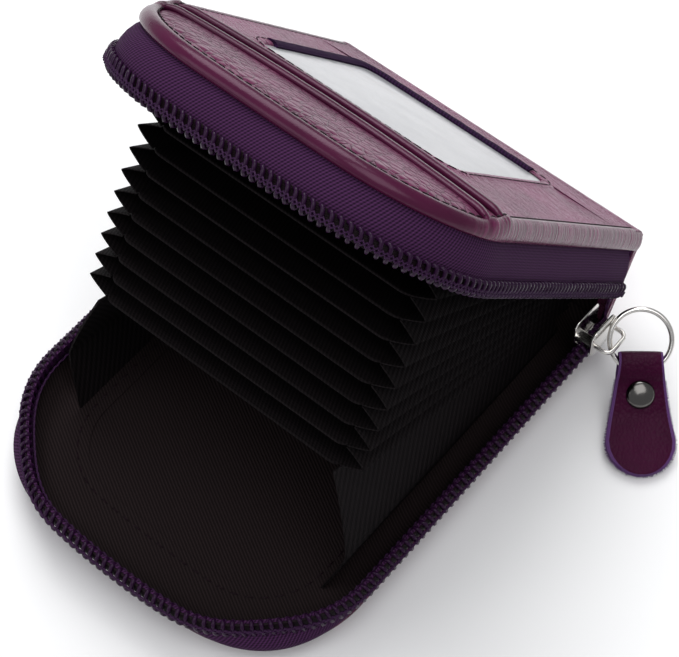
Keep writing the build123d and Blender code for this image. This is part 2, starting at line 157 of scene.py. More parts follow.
# Slider and pull
PLATE_T = 0.0006
LIP_L = 0.0062
LIP_H = 0.0008
WEDGE_R = 0.0006
ARCH_BAR = 0.0009
ARCH_BAR_R = 0.0006      # half the bar's thickness
ARCH_R = 0.0014
PULL_AZ = math.radians(39.0)
RING_SLOPE = math.radians(38.0)
RING_R = 0.0062
WIRE_R = 0.00055
RING_JOINT_AT = 0.35     # radians round the ring
STRAP_T = 0.0009
STRAP_HALF_W = 0.0070    # at the round tip
STRAP_NECK = 0.0044      # half the width at the fold over the ring
NECK_END = 0.004
LOOP_AT = 0.00425        # the strap's loop round the ring's wire
LOOP_R = 0.0016
MEET = 0.00815           # where the strap's two layers meet
BEND_AT = 0.01355
BEND_R = 0.009
BEND = math.radians(26.0)
STRAP_TIP = BEND_AT + BEND_R * BEND + 0.0100
TIP_CENTRE = STRAP_TIP - STRAP_HALF_W
RIVET_POST_R = 0.0009


def within(share):
    """The share, kept from 0 to 1."""
    return max(0.0, min(1.0, share))


def ease(share):
    """The share, with a slow start and a slow end."""
    return share * share * (3 - 2 * share)


def along(angle):
    """Direction from the spine to the mouth of a sheet that is open by this angle."""
    return Vector((0, -math.cos(math.radians(angle)), math.sin(math.radians(angle))))


def normal(angle):
    """Direction that such a sheet faces, up from the back cover."""
    return Vector((0, math.sin(math.radians(angle)), math.cos(math.radians(angle))))


def frame_of(x_way, y_way, z_way, at):
    """Matrix that takes a piece made at the origin to this place, turned to these directions."""
    return Matrix((
        (x_way.x, y_way.x, z_way.x, at.x),
        (x_way.y, y_way.y, z_way.y, at.y),
        (x_way.z, y_way.z, z_way.z, at.z),
        (0, 0, 0, 1),
    ))


# The front half is the back half turned over, hinged at the upper fold
LOW_FOLD = Vector((0, FOLD_Y, FOLD_R))
HIGH_FOLD = LOW_FOLD + normal(SPINE_TILT) * SPINE_H
FRONT_AT = HIGH_FOLD + along(COVER_ANGLE) * FOLD_Y + normal(COVER_ANGLE) * FOLD_R
FRONT_HALF = frame_of(Vector((-1, 0, 0)), -along(COVER_ANGLE), -normal(COVER_ANGLE), FRONT_AT)
HALVES = {"back": Matrix.Identity(4), "front": FRONT_HALF}
HALF_BODY = {"back": "back_case", "front": "front_case"}


# Shader nodes

def new_group(name, inputs, outputs):
    """A shader node group that takes a vector and these numbers, with its input and its output nodes."""
    group = bpy.data.node_groups.new(name, "ShaderNodeTree")
    group.interface.new_socket("Vector", in_out="INPUT", socket_type="NodeSocketVector")
    for label, value in inputs.items():
        socket = group.interface.new_socket(label, in_out="INPUT", socket_type="NodeSocketFloat")
        socket.default_value = value
    for label in outputs:
        group.interface.new_socket(label, in_out="OUTPUT", socket_type="NodeSocketFloat")
    return group, group.nodes.new("NodeGroupInput"), group.nodes.new("NodeGroupOutput")


def feed(tree, value, socket):
    """Sets a socket to a number, or links another socket to it."""
    if isinstance(value, (int, float)):
        socket.default_value = value
    else:
        tree.links.new(value, socket)


def math_node(tree, operation, first, second=0.0):
    node = tree.nodes.new("ShaderNodeMath")
    node.operation = operation
    for socket, value in zip(node.inputs, (first, second)):
        feed(tree, value, socket)
    return node.outputs[0]


def clouds(tree, place, scale, detail=2.0):
    """Soft noise, finer with a greater scale."""
    node = tree.nodes.new("ShaderNodeTexNoise")
    node.inputs["Detail"].default_value = detail
    tree.links.new(place, node.inputs["Vector"])
    feed(tree, scale, node.inputs["Scale"])
    return node


def ramp(tree, value, start, end, first=0.0, last=1.0):
    """Takes a value that goes from start to end to one that goes from first to last."""
    node = tree.nodes.new("ShaderNodeMapRange")
    labels = ("Value", "From Min", "From Max", "To Min", "To Max")
    for label, number in zip(labels, (value, start, end, first, last)):
        feed(tree, number, node.inputs[label])
    return node.outputs[0]


def make_pebble_group():
    """Leather grain: rounded pebbles with creases between them, and a slow change of tone."""
    group, ins, outs = new_group(
        "leather_pebbles", {"Scale": 1500.0, "Depth": 0.35}, ("Height", "Crease", "Tone")
    )
    place = ins.outputs["Vector"]
    bend, bend_scale = 0.0007, 520.0
    shift = group.nodes.new("ShaderNodeVectorMath")
    shift.operation = "MULTIPLY_ADD"
    shift.inputs[1].default_value = (bend, bend, bend)
    group.links.new(clouds(group, place, bend_scale).outputs["Color"], shift.inputs[0])
    group.links.new(place, shift.inputs[2])

    def pebbles(feature):
        node = group.nodes.new("ShaderNodeTexVoronoi")
        node.feature = feature
        group.links.new(shift.outputs[0], node.inputs["Vector"])
        group.links.new(ins.outputs["Scale"], node.inputs["Scale"])
        return node

    cells, edges = pebbles("SMOOTH_F1"), pebbles("DISTANCE_TO_EDGE")
    cells.inputs["Smoothness"].default_value = 0.35
    crease = ramp(group, edges.outputs["Distance"], 0.0, 0.09, 1.0, 0.0)
    dome = math_node(group, "SUBTRACT", 1.0, cells.outputs["Distance"])
    dip = math_node(group, "MULTIPLY", crease, ins.outputs["Depth"])
    group.links.new(math_node(group, "SUBTRACT", dome, dip), outs.inputs["Height"])
    group.links.new(crease, outs.inputs["Crease"])
    tone_scale, tone_detail = 60.0, 4.0
    group.links.new(clouds(group, place, tone_scale, tone_detail).outputs["Fac"], outs.inputs["Tone"])
    return group


def make_weave_group():
    """Woven cloth: ribs of thread crossing at a slant, from a vector in metres."""
    cross_rate = 1.3                # threads across for each rib
    peak, height_share = 1.45, 0.345    # bring the two waves to heights from 0 to 1
    group, ins, outs = new_group(
        "woven_threads", {"Threads": 2400.0, "Slant": 0.6, "Cross": 0.45}, ("Height",)
    )
    split = group.nodes.new("ShaderNodeSeparateXYZ")
    group.links.new(ins.outputs["Vector"], split.inputs[0])

    def times(first, second):
        return math_node(group, "MULTIPLY", first, second)

    slanted = math_node(group, "ADD", split.outputs[0], times(split.outputs[1], ins.outputs["Slant"]))
    turns = times(ins.outputs["Threads"], math.tau)
    ribs = math_node(group, "SINE", times(slanted, turns))
    across = math_node(group, "SINE", times(split.outputs[1], times(turns, cross_rate)))
    both = math_node(group, "ADD", ribs, times(across, ins.outputs["Cross"]))
    group.links.new(times(math_node(group, "ADD", both, peak), height_share), outs.inputs["Height"])
    return group


def make_polish_group():
    """Uneven polish, for roughness."""
    group, ins, outs = new_group("uneven_polish", {"Low": 0.2, "High": 0.4, "Scale": 300.0}, ("Roughness",))
    cloud = clouds(group, ins.outputs["Vector"], ins.outputs["Scale"], 5.0)
    rough = ramp(group, cloud.outputs["Fac"], 0.0, 1.0, ins.outputs["Low"], ins.outputs["High"])
    group.links.new(rough, outs.inputs["Roughness"])
    return group


PEBBLES = make_pebble_group()
WEAVE = make_weave_group()
POLISH = make_polish_group()


# Materials

def new_material(name, colour, roughness, **settings):
    """A material with its Principled shader, whose plain values are set on the sockets."""
    material = bpy.data.materials.new(name)
    material.use_nodes = True
    shader = material.node_tree.nodes["Principled BSDF"]
    shader.inputs["Base Color"].default_value = (*colour, 1.0)
    shader.inputs["Roughness"].default_value = roughness
    for label, value in settings.items():
        shader.inputs[label.replace("_", " ")].default_value = value
    return material, material.node_tree, shader


def place_group(tree, group, vector, **values):
    node = tree.nodes.new("ShaderNodeGroup")
    node.node_tree = group
    tree.links.new(vector, node.inputs["Vector"])
    for label, value in values.items():
        node.inputs[label].default_value = value
    return node


def object_place(tree):
    return tree.nodes.new("ShaderNodeTexCoord").outputs["Object"]


def strip_place(tree):
    """Metres along and across a piece, from its UV map."""
    return tree.nodes.new("ShaderNodeTexCoord").outputs["UV"]


def mix_colours(tree, factor, dark, light, shader):
    mix = tree.nodes.new("ShaderNodeMix")
    mix.data_type = "RGBA"
    mix.inputs[6].default_value = (*dark, 1.0)
    mix.inputs[7].default_value = (*light, 1.0)
    tree.links.new(factor, mix.inputs[0])
    tree.links.new(mix.outputs[2], shader.inputs["Base Color"])
    return mix


def bump(tree, height, shader, strength, distance):
    node = tree.nodes.new("ShaderNodeBump")
    node.inputs["Strength"].default_value = strength
    node.inputs["Distance"].default_value = distance
    tree.links.new(height, node.inputs["Height"])
    tree.links.new(node.outputs[0], shader.inputs["Normal"])


def polish_unevenly(tree, place, shader, low_rough, high_rough, scale=260.0):
    polish = place_group(tree, POLISH, place, Low=low_rough, High=high_rough, Scale=scale)
    tree.links.new(polish.outputs[0], shader.inputs["Roughness"])


def drawn_grooves(tree, place):
    """Fine grooves that run across the front cover at a slant, stronger in some places than in others."""
    slant = math.radians(35.0)
    rate_ahead, rate_across, spread_scale = 170.0, 1150.0, 55.0
    to_mouth, to_side = along(COVER_ANGLE), Vector((1, 0, 0))
    ahead = to_side * math.cos(slant) + to_mouth * math.sin(slant)
    across = to_mouth * math.cos(slant) - to_side * math.sin(slant)
    joined = tree.nodes.new("ShaderNodeCombineXYZ")
    for socket, way in zip(joined.inputs, (ahead * rate_ahead, across * rate_across)):
        run = tree.nodes.new("ShaderNodeVectorMath")
        run.operation = "DOT_PRODUCT"
        run.inputs[1].default_value = way
        tree.links.new(place, run.inputs[0])
        tree.links.new(run.outputs["Value"], socket)
    lines = clouds(tree, joined.outputs[0], 1.0, 1.0)
    groove = ramp(tree, lines.outputs["Fac"], 0.50, 0.38)
    return math_node(tree, "MULTIPLY", groove, clouds(tree, place, spread_scale).outputs["Fac"])


def make_leather(name, dark, light, pebbles, depth, polish, sheen, creases, shine, grooves=0.0):
    """Dyed leather with pebbled grain; painted shade darkens its creases, and its grooves where it has them."""
    # how strongly painted shade darkens the creases and the drawn grooves
    crease_shade, groove_shade = 0.55, 0.12
    material, tree, shader = new_material(
        name, light, 0.4, Sheen_Weight=sheen, Sheen_Roughness=0.35, Sheen_Tint=(0.95, 0.50, 0.74, 1.0),
        Specular_IOR_Level=shine, Specular_Tint=(1.0, 0.80, 0.93, 1.0)
    )
    place = object_place(tree)
    grain = place_group(tree, PEBBLES, place, Scale=pebbles, Depth=creases)
    # painted shade: the tone is darkened in the grain's creases
    shade = math_node(tree, "MULTIPLY", grain.outputs["Crease"], creases * crease_shade)
    tone = math_node(tree, "SUBTRACT", grain.outputs["Tone"], shade)
    height = grain.outputs["Height"]
    if grooves:
        groove = drawn_grooves(tree, place)
        # painted shade: the tone is darkened in the drawn grooves too
        tone = math_node(tree, "SUBTRACT", tone, math_node(tree, "MULTIPLY", groove, grooves * groove_shade))
        height = math_node(tree, "SUBTRACT", height, math_node(tree, "MULTIPLY", groove, grooves))
    mix_colours(tree, tone, dark, light, shader)
    bump(tree, height, shader, 1.0, depth)
    polish_unevenly(tree, place, shader, *polish)
    return material


def make_rim_leather():
    """Smooth glossy leather, drawn into small creases across the band along the case's two sides, with a
    painted highlight on the creases' ridges.
    """
    band_from, band_to = 0.0345, 0.0375     # from the case's middle line
    crease_rates = (1500.0, 130.0, 1.0)
    # where the painted highlight on the band's crease ridges begins, and how fast it grows
    painted_highlight_from, painted_highlight_rate, grain_share = 0.42, 5.0, 0.06
    material, tree, shader = new_material(
        "rim_leather", (0.09, 0.010, 0.045), 0.24,
        Specular_IOR_Level=0.28, Specular_Tint=(1.0, 0.78, 0.92, 1.0)
    )
    place = object_place(tree)
    grain = place_group(tree, PEBBLES, place, Scale=1500.0, Depth=0.2)
    split = tree.nodes.new("ShaderNodeSeparateXYZ")
    tree.links.new(place, split.inputs[0])
    side = ramp(tree, math_node(tree, "ABSOLUTE", split.outputs[0]), band_from, band_to)
    drawn_out = tree.nodes.new("ShaderNodeMapping")
    drawn_out.inputs["Scale"].default_value = crease_rates
    tree.links.new(strip_place(tree), drawn_out.inputs["Vector"])
    creases = clouds(tree, drawn_out.outputs[0], 1.0, 3.0)
    drawn = math_node(tree, "MULTIPLY", creases.outputs["Fac"], side)
    # painted highlight: the tone is lightened, past the light colour, on the ridges of the band's creases
    wear_and_painted_highlight = math_node(tree, "MULTIPLY", math_node(tree, "SUBTRACT", drawn, painted_highlight_from), painted_highlight_rate)
    tone = math_node(tree, "ADD", grain.outputs["Tone"], math_node(tree, "MAXIMUM", wear_and_painted_highlight))
    mix = mix_colours(tree, tone, (0.022, 0.0012, 0.010), (0.088, 0.0085, 0.043), shader)
    mix.clamp_factor = False
    height = math_node(tree, "ADD", math_node(tree, "MULTIPLY", grain.outputs["Height"], grain_share), drawn)
    bump(tree, height, shader, 1.0, 0.00017)
    polish_unevenly(tree, place, shader, 0.17, 0.30)
    return material


def make_woven(name, dark, light, threads, slant, depth, on_strip=False, cross=0.45):
    """Woven cloth, with painted shade darkening the threads' gaps."""
    material, tree, shader = new_material(name, light, 0.85, Specular_IOR_Level=0.08)
    place = strip_place(tree) if on_strip else object_place(tree)
    cloth = place_group(tree, WEAVE, place, Threads=threads, Slant=slant, Cross=cross)
    # painted shade: the low gaps between the threads take the dark colour
    mix_colours(tree, cloth.outputs["Height"], dark, light, shader)
    bump(tree, cloth.outputs["Height"], shader, 1.0, depth)
    return material


def make_thread(name, dark, light):
    """Twisted thread, with painted shade in the grooves of its twist."""
    material, tree, shader = new_material(name, light, 0.6, Specular_IOR_Level=0.15)
    twist = place_group(tree, WEAVE, strip_place(tree), Threads=2200.0, Slant=1.4)
    # painted shade: the grooves of the twist take the dark colour
    mix_colours(tree, twist.outputs["Height"], dark, light, shader)
    bump(tree, twist.outputs["Height"], shader, 0.7, 0.00008)
    return material


def make_monofilament():
    """Glossy dyed strand of the coils."""
    material, tree, shader = new_material(
        "coil_monofilament", (0.020, 0.0045, 0.024), 0.26,
        Specular_IOR_Level=0.14, Coat_Weight=0.02, Coat_Roughness=0.15
    )
    polish_unevenly(tree, object_place(tree), shader, 0.20, 0.36, 900.0)
    return material


def make_nickel(name, colour):
    """Polished nickel with fine scratches."""
    scratch_scale = 2600.0
    material, tree, shader = new_material(name, colour, 0.16, Metallic=1.0)
    place = object_place(tree)
    polish_unevenly(tree, place, shader, 0.08, 0.26, 500.0)
    bump(tree, clouds(tree, place, scratch_scale).outputs["Fac"], shader, 0.12, 0.00004)
    return material


def make_film():
    """Clear soft film, milky from handling, over the pocket."""
    cloud_scale, cloud_detail = 90.0, 3.0
    material, tree, shader = new_material(
        "clear_film", (0.50, 0.50, 0.54), 0.20, Specular_IOR_Level=0.30, Coat_Weight=0.10, Coat_Roughness=0.08
    )
    cloud = clouds(tree, object_place(tree), cloud_scale, cloud_detail)
    mix_colours(tree, cloud.outputs["Fac"], (0.27, 0.275, 0.29), (0.43, 0.435, 0.45), shader)
    bump(tree, cloud.outputs["Fac"], shader, 0.5, 0.0006)
    return material


MATERIALS = {
    "pebbled_leather": make_leather(
        "pebbled_leather", dark=(0.024, 0.001, 0.012), light=(0.185, 0.022, 0.092), pebbles=470.0,
        depth=0.00046, polish=(0.27, 0.42), sheen=0.12, creases=0.55, shine=0.26),
    "smooth_leather": make_leather(
        "smooth_leather", dark=(0.035, 0.001, 0.015), light=(0.290, 0.055, 0.155), pebbles=1250.0,
        depth=0.00034, polish=(0.26, 0.42), sheen=0.20, creases=0.45, shine=0.34, grooves=1.7),
    "rim_leather": make_rim_leather(),
    "pull_leather": make_leather(
        "pull_leather", dark=(0.014, 0.0004, 0.007), light=(0.062, 0.0022, 0.032), pebbles=1300.0,
        depth=0.00009, polish=(0.30, 0.46), sheen=0.0, creases=0.25, shine=0.09),
    "pull_edge": make_thread("pull_raw_edge", dark=(0.040, 0.012, 0.060), light=(0.140, 0.055, 0.200)),
    "zip_tape": make_woven(
        "zip_tape", dark=(0.009, 0.0028, 0.011), light=(0.070, 0.022, 0.078),
        threads=1500.0, slant=0.55, depth=0.00010, on_strip=True),
    "zip_coil": make_monofilament(),
    "zip_thread": make_thread("zip_sewing_thread", dark=(0.010, 0.0025, 0.014), light=(0.052, 0.014, 0.064)),
    "seam_thread": make_thread("seam_thread", dark=(0.003, 0.001, 0.002), light=(0.010, 0.002, 0.006)),
    "binding_tape": make_woven(
        "binding_tape", dark=(0.006, 0.002, 0.010), light=(0.032, 0.009, 0.044),
        threads=1300.0, slant=0.3, depth=0.00012, on_strip=True),
    "twill_lining": make_woven(
        "twill_lining", dark=(0.0040, 0.0025, 0.0028), light=(0.024, 0.0160, 0.0168),
        threads=800.0, slant=1.79, depth=0.00010, cross=0.0),
    "accordion_cloth": make_woven(
        "accordion_cloth", dark=(0.0020, 0.0014, 0.0017), light=(0.0105, 0.0080, 0.0090),
        threads=1300.0, slant=0.5, depth=0.00008),
    "board": make_woven(
        "board", dark=(0.25, 0.22, 0.18), light=(0.36, 0.33, 0.28), threads=700.0, slant=0.4, depth=0.00008),
    "clear_film": make_film(),
    "nickel": make_nickel("polished_nickel", (0.72, 0.70, 0.67)),
    "rivet_nickel": make_nickel("rivet_nickel", (0.12, 0.115, 0.11)),
}


# Objects and meshes

def clear_selection():
    bpy.ops.object.select_all(action="DESELECT")


def only(obj):
    clear_selection()
    obj.select_set(True)
    bpy.context.view_layer.objects.active = obj


def block(middle, size):
    """A box of this size at this place, to be shaped."""
    clear_selection()
    bpy.ops.mesh.primitive_cube_add(size=1, location=middle)
    piece = bpy.context.object
    piece.scale = size
    bpy.ops.object.transform_apply(location=True, rotation=True, scale=True)
    return piece


def cut_disc(outline, fill):
    """A flat disc of leather, or only its edge, cut to this outline."""
    clear_selection()
    bpy.ops.mesh.primitive_circle_add(vertices=len(outline), radius=HALF_W, fill_type=fill)
    piece = bpy.context.object
    for vert, point in zip(piece.data.vertices, outline):
        vert.co = point
    return piece


def join(pieces):
    only(pieces[0])
    for piece in pieces:
        piece.select_set(True)
    bpy.ops.object.join()
    return bpy.context.object


def nothing_picked(obj):
    """The mesh that is being edited, with nothing selected."""
    shape = bmesh.from_edit_mesh(obj.data)
    for part in (*shape.verts, *shape.edges, *shape.faces):
        part.select = False
    return shape


def pick_faces(obj, test):
    """Selects the faces, in edit mode, whose middle and normal pass the test."""
    shape = nothing_picked(obj)
    for face in shape.faces:
        if test(face.calc_center_median(), face.normal):
            face.select_set(True)
    shape.select_mode = {"FACE"}
    shape.select_flush_mode()
    bmesh.update_edit_mesh(obj.data)


def pick_edges(obj, test):
    """Selects the edges, in edit mode, whose middle and direction pass the test."""
    shape = nothing_picked(obj)
    for edge in shape.edges:
        first, second = (vert.co for vert in edge.verts)
        if test((first + second) / 2, (second - first).normalized()):
            edge.select_set(True)
    bmesh.update_edit_mesh(obj.data)


def outwards(obj):
    """Merges doubled points and turns every face outwards."""
    only(obj)
    bpy.ops.object.mode_set(mode="EDIT")
    bpy.ops.mesh.select_all(action="SELECT")
    bpy.ops.mesh.remove_doubles(threshold=1e-7)
    bpy.ops.mesh.normals_make_consistent(inside=False)
    bpy.ops.mesh.select_all(action="DESELECT")
    bpy.ops.object.mode_set(mode="OBJECT")


def thicken(obj, thickness, offset=0.0):
    only(obj)
    wall = obj.modifiers.new("wall", "SOLIDIFY")
    wall.thickness = thickness
    wall.offset = offset
    bpy.ops.object.modifier_apply(modifier=wall.name)


def finish_piece(obj, name, finish, body, smooth=60.0):
    """Names a finished piece, gives it its material and sets it on its body, if it rides on one alone."""
    obj.name = name
    obj.data.name = name
    only(obj)
    bpy.ops.object.transform_apply(location=True, rotation=True, scale=True)
    bpy.ops.object.shade_smooth_by_angle(angle=math.radians(smooth))
    obj.data.materials.clear()
    obj.data.materials.append(MATERIALS[finish])
    if body:
        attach(obj, body)


def finish_in_half(obj, side, name, finish, smooth=60.0):
    """Moves a piece that was made lying in the back half to its own half, and finishes it there."""
    obj.data.transform(HALVES[side])
    obj.data.update()
    finish_piece(obj, name, finish, HALF_BODY[side], smooth)


def run_lengths(points):
    """How far along the line through these points each of them lies."""
    run = [0.0]
    for first, second in zip(points, points[1:]):
        run.append(run[-1] + (second - first).length)
    return run


def line_length(points):
    return run_lengths([Vector(point) for point in points])[-1]


def headings(points):
    """The direction of a line at each of its points."""
    before, after = [points[0], *points[:-1]], [*points[1:], points[-1]]
    return [(second - first).normalized() for first, second in zip(before, after)]


def ring_of(centre, across, other, radius, sides):
    """Points round a centre, in the plane of these two directions."""
    turns = [math.tau * k / sides for k in range(sides)]
    return [centre + (across * math.cos(a) + other * math.sin(a)) * radius for a in turns]


def add_mesh(name, points, faces, spots):
    """A new object. Its UV map holds metres along and across it, for the weave."""
    mesh = bpy.data.meshes.new(name)
    mesh.from_pydata(points, [], faces)
    layer = mesh.uv_layers.new(name="strip")
    layer.data.foreach_set("uv", [value for spot in spots for value in spot])
    obj = bpy.data.objects.new(name, mesh)
    bpy.context.scene.collection.objects.link(obj)
    return obj


def row_faces(start, down, across, around=True):
    """Faces between rows of points, numbered from start, and the place of each of their corners.

    A place is how far down the rows it lies and how far across its row. With around, the rows are closed
    and the first and the last one have a face over them."""
    spans = len(across[0]) - 1
    width = spans if around else spans + 1
    faces, spots = [], []
    for r in range(len(down) - 1):
        first, second = start + r * width, start + (r + 1) * width
        for k in range(spans):
            after = (k + 1) % width
            faces.append((first + k, first + after, second + after, second + k))
            spots += [(down[r], across[r][k]), (down[r], across[r][k + 1]),
                      (down[r + 1], across[r + 1][k + 1]), (down[r + 1], across[r + 1][k])]
    if around:
        last = start + (len(down) - 1) * width
        faces += [tuple(reversed(range(start, start + width))), tuple(range(last, last + width))]
        spots += [(0.0, across[0][k]) for k in reversed(range(width))]
        spots += [(down[-1], across[-1][k]) for k in range(width)]
    return faces, spots


def skin(name, rows, around=True):
    """A skin through rows of points, as cloth or leather is led along a line.

    With around, the rows are closed."""
    down = run_lengths([row[0] for row in rows])
    across = [run_lengths([*row, row[0]] if around else row) for row in rows]
    obj = add_mesh(name, [point for row in rows for point in row], *row_faces(0, down, across, around))
    if around:
        outwards(obj)
    return obj


def tube(name, centres, radius, sides=STRAND_SIDES):
    """Round strand through these centres."""
    rows = []
    previous = Vector((0, 0, 1))
    for centre, ahead in zip(centres, headings(centres)):
        across = (previous - ahead * previous.dot(ahead)).normalized()
        rows.append(ring_of(centre, across, ahead.cross(across), radius, sides))
        previous = across
    return skin(name, rows)


def ripple(x, y, seed):
    """Smooth unevenness from -1 to 1."""
    return noise.noise(Vector((x, y, seed)))


STITCH_RINGS = (
    # share of the stitch's length along, shares of its radius up and round it
    (-0.5, -0.9, 0.45),
    (-0.3, 0.1, 1.0),
    (0.3, 0.1, 1.0),
    (0.5, -0.9, 0.45),
)
STITCH_SIDES = 5


def stitch_row(name, places, length, radius, finish, body, matrix):
    """Short thread stitches, each with few faces, at (middle, way, up) places."""
    down = [0.0003 * ring for ring in range(len(STITCH_RINGS))]
    across = [[0.0001 * k for k in range(STITCH_SIDES + 1)]] * len(down)
    ends = [(0.0, 0.0001 * k) for k in range(STITCH_SIDES)] * 2     # both ends show the thread's start
    points, faces, spots = [], [], []
    for middle, way, up in places:
        stitch_faces, stitch_spots = row_faces(len(points), down, across)
        faces += stitch_faces
        spots += stitch_spots[:-len(ends)] + ends
        other = way.cross(up).normalized()
        for share, rise, swell in STITCH_RINGS:
            centre = middle + way * length * share + up * radius * rise
            points += ring_of(centre, up, other, radius * swell, STITCH_SIDES)
    row = add_mesh(name, points, faces, spots)
    row.data.transform(matrix)
    outwards(row)
    finish_piece(row, name, finish, body)


# The line that the rims, tapes and coils follow

def point_at(line, run, distance):
    """Point and outward direction at this distance along a line of such pairs."""
    k = min(max(bisect_left(run, distance) - 1, 0), len(run) - 2)
    share = (distance - run[k]) / (run[k + 1] - run[k])
    (first, away), (second, away_next) = line[k], line[k + 1]
    return first.lerp(second, share), away.lerp(away_next, share).normalized()


def edge_line(out, end_y, step=0.0, count=None):
    """Points along the cover's edge, moved out by this much, from the right end round the mouth to the left.

    Each has its outward direction. They lie about a step apart, or have this many spaces between them."""
    corner_count, bow_count = 40, 20
    side, mouth, radius = HALF_W + out, -HALF_D - out, MOUTH_R + out
    bow_r = (side ** 2 + MOUTH_BOW ** 2) / (2 * MOUTH_BOW)
    bow_y = mouth + bow_r
    corner = Vector((side - radius, bow_y - math.sqrt((bow_r - radius) ** 2 - (side - radius) ** 2)))
    turn = math.atan2(corner.x, bow_y - corner.y)
    line = [(Vector((side, end_y)), Vector((1, 0)))]
    for i in range(corner_count + 1):
        a = (turn - math.pi / 2) * i / corner_count
        away = Vector((math.cos(a), math.sin(a)))
        line.append((corner + away * radius, away))
    for i in range(1, bow_count + 1):
        a = turn * (1 - i / bow_count)
        away = Vector((math.sin(a), -math.cos(a)))
        line.append((Vector((0, bow_y)) + away * bow_r, away))
    line += [(Vector((-at.x, at.y)), Vector((-away.x, away.y))) for at, away in reversed(line[:-1])]
    run = run_lengths([at for at, _ in line])
    count = count or max(2, round(run[-1] / step))
    return [point_at(line, run, run[-1] * i / count) for i in range(count + 1)]


def off_line(at, away, out, height):
    """Point this far outside a point of the line, at this height."""
    return Vector((at.x + away.x * out, at.y + away.y * out, height))


def corner_share(at):
    """1 at the middle of a mouth corner, falling to 0 away from it."""
    return math.exp(-((math.hypot(abs(at.x) - CORNER_X, at.y - CORNER_Y) / CORNER_SPREAD) ** 2))


def flare(side):
    """How far the coil stands out past the cover line, by place along it, less at the mouth's corners."""
    mouth, dip = FLARE_MOUTH[side], FLARE_DIP[side]

    def reach(at):
        share = ease(within((at.y - FLARE_FROM) / FLARE_RUN))
        return mouth + (FLARE_SLIDER - mouth) * share - dip * corner_share(at)

    return reach


def flare_share(height):
    """How much of the coil's flare the tape has at this height: none at the rim, all of it near the coil."""
    return within((height - RIM_H * 0.6) / (COIL_TOP * 0.6))


def coil_line(side):
    """The point and direction at any distance along the coil, as a function, and the coil's length."""
    reach = flare(side)
    line = [(at + away * reach(at), away) for at, away in edge_line(0.0, TAPE_END, STRIP_STEP / 2)]
    run = run_lengths([at for at, _ in line])
    return lambda distance: point_at(line, run, distance), run[-1]


def edge_strip(name, profile, side, around, uneven, seed, belly=0.0):
    """Leads a cross-section of (out, height) points along the tape's line. Belly is at the mouth's corners."""
    belly_from, belly_h = 0.0016, 0.0090
    reach = flare(side)
    rows = []
    for at, away in edge_line(0.0, TAPE_END, STRIP_STEP):
        row = []
        for out, height in profile:
            push = uneven * ripple(at.x * 90, at.y * 90 + height * 60, seed)
            full = math.sin(math.pi * within((height - belly_from) / belly_h)) * belly * corner_share(at)
            row.append(off_line(at, away, out + push + reach(at) * flare_share(height) + full, height))
        rows.append(row)
    return skin(name, rows, around=around)


def seam_places(line, level, up):
    """Places of stitches along a line of the cover, from functions for their level and the way they face."""
    places = []
    for (at, away), (after, _) in zip(line, line[1:]):
        middle = (at + after) / 2
        way = Vector((after.x - at.x, after.y - at.y, 0)).normalized()
        places.append((Vector((middle.x, middle.y, level(middle))), way, up(away)))
    return places


# Zip

def declare_strip(profile, side):
    """Works out a strip of cloth's width and the zip's length round three sides, but keeps neither."""
    flat = (round(line_length(profile), 4), round(coil_line(side)[1], 4))


def zip_tape(side):
    """Woven tape from the rim up to the coil, bulging a little."""
    middle = [(-0.0010, 0.0018), (-0.0006, 0.0028), (-0.0001, 0.0040), (0.0002, 0.0056), (0.0003, 0.0072),
              (0.0002, 0.0088), (-0.0001, 0.0104), (-0.0002, 0.0120 if side == "back" else 0.0116)]
    outer = [(out + TAPE_T / 2, height) for out, height in middle]
    inner = [(out - TAPE_T / 2, height) for out, height in reversed(middle)]
    tape = edge_strip(side + "_tape", outer + inner, side, True, 0.00022, 3.0, TAPE_BELLY[side])
    finish_in_half(tape, side, side + "_tape", "zip_tape", 40.0)
    declare_strip(middle, side)
    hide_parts(side + "_zip_tape")


TURN_SHAPE = (
    # share of a pitch along, out from the tape, share of the height
    (-0.25, -0.10, 0.12),
    (-0.19, 0.30, 0.05),
    (-0.06, 0.62, -0.02),
    (0.12, 0.78, -0.02),
    (0.28, 0.86, 0.10),
    (0.40, 0.84, 0.32),
    (0.47, 0.78, 0.58),
    (0.52, 0.62, 0.84),
    (0.57, 0.32, 0.99),
    (0.62, -0.04, 1.00),
    (0.66, -0.34, 0.84),
    (0.70, -0.40, 0.55),
    (0.73, -0.30, 0.30),
)
BED_SHAPE = ((0.00010, 0.0090), (0.00058, 0.0092), (0.00066, 0.0106), (0.00050, 0.0118), (0.00010, 0.0119))
CORD_PLACE = (0.12, 0.52)       # shares of a turn's thickness out and of its height up
COIL_THREADS = (
    # name, where it begins its crossing, its lowest and highest share of a turn's height, share of a turn out
    ("first", 0.0, 0.44, 0.74, 1.04),
    ("second", 1.0, 0.44, 0.74, 1.04),
    ("inner", 0.5, 0.06, 0.30, -0.88),
)
CROSSING_SHIFT = 0.4            # of a crossing, from the middle of a turn
CROSSING_IN = 0.9               # every other crossing is pulled in to this share


def zip_coil(side, place, turns, pitch):
    """The monofilament wound round its core cord, one turn after another along the tape's edge."""
    centres = []
    for turn in range(turns):
        for share, out, rise in TURN_SHAPE:
            at, away = place(TURN_PITCH / 2 + (turn + share) * pitch)
            centres.append(off_line(at, away, out * TURN_T, COIL_FOOT + rise * TURN_H))
    coil = tube(side + "_coil", centres, MONOFIL_R)
    finish_in_half(coil, side, side + "_coil", "zip_coil", 70.0)
    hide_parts(side + "_zip_coil")


def core_cord(side, spots):
    """Cord that the turns are wound round."""
    out, rise = CORD_PLACE
    line = [off_line(at, away, TURN_T * out, COIL_FOOT + TURN_H * rise) for at, away in spots]
    cord = tube(side + "_core_cord", line, CORD_R)
    finish_in_half(cord, side, side + "_core_cord", "zip_thread", 70.0)


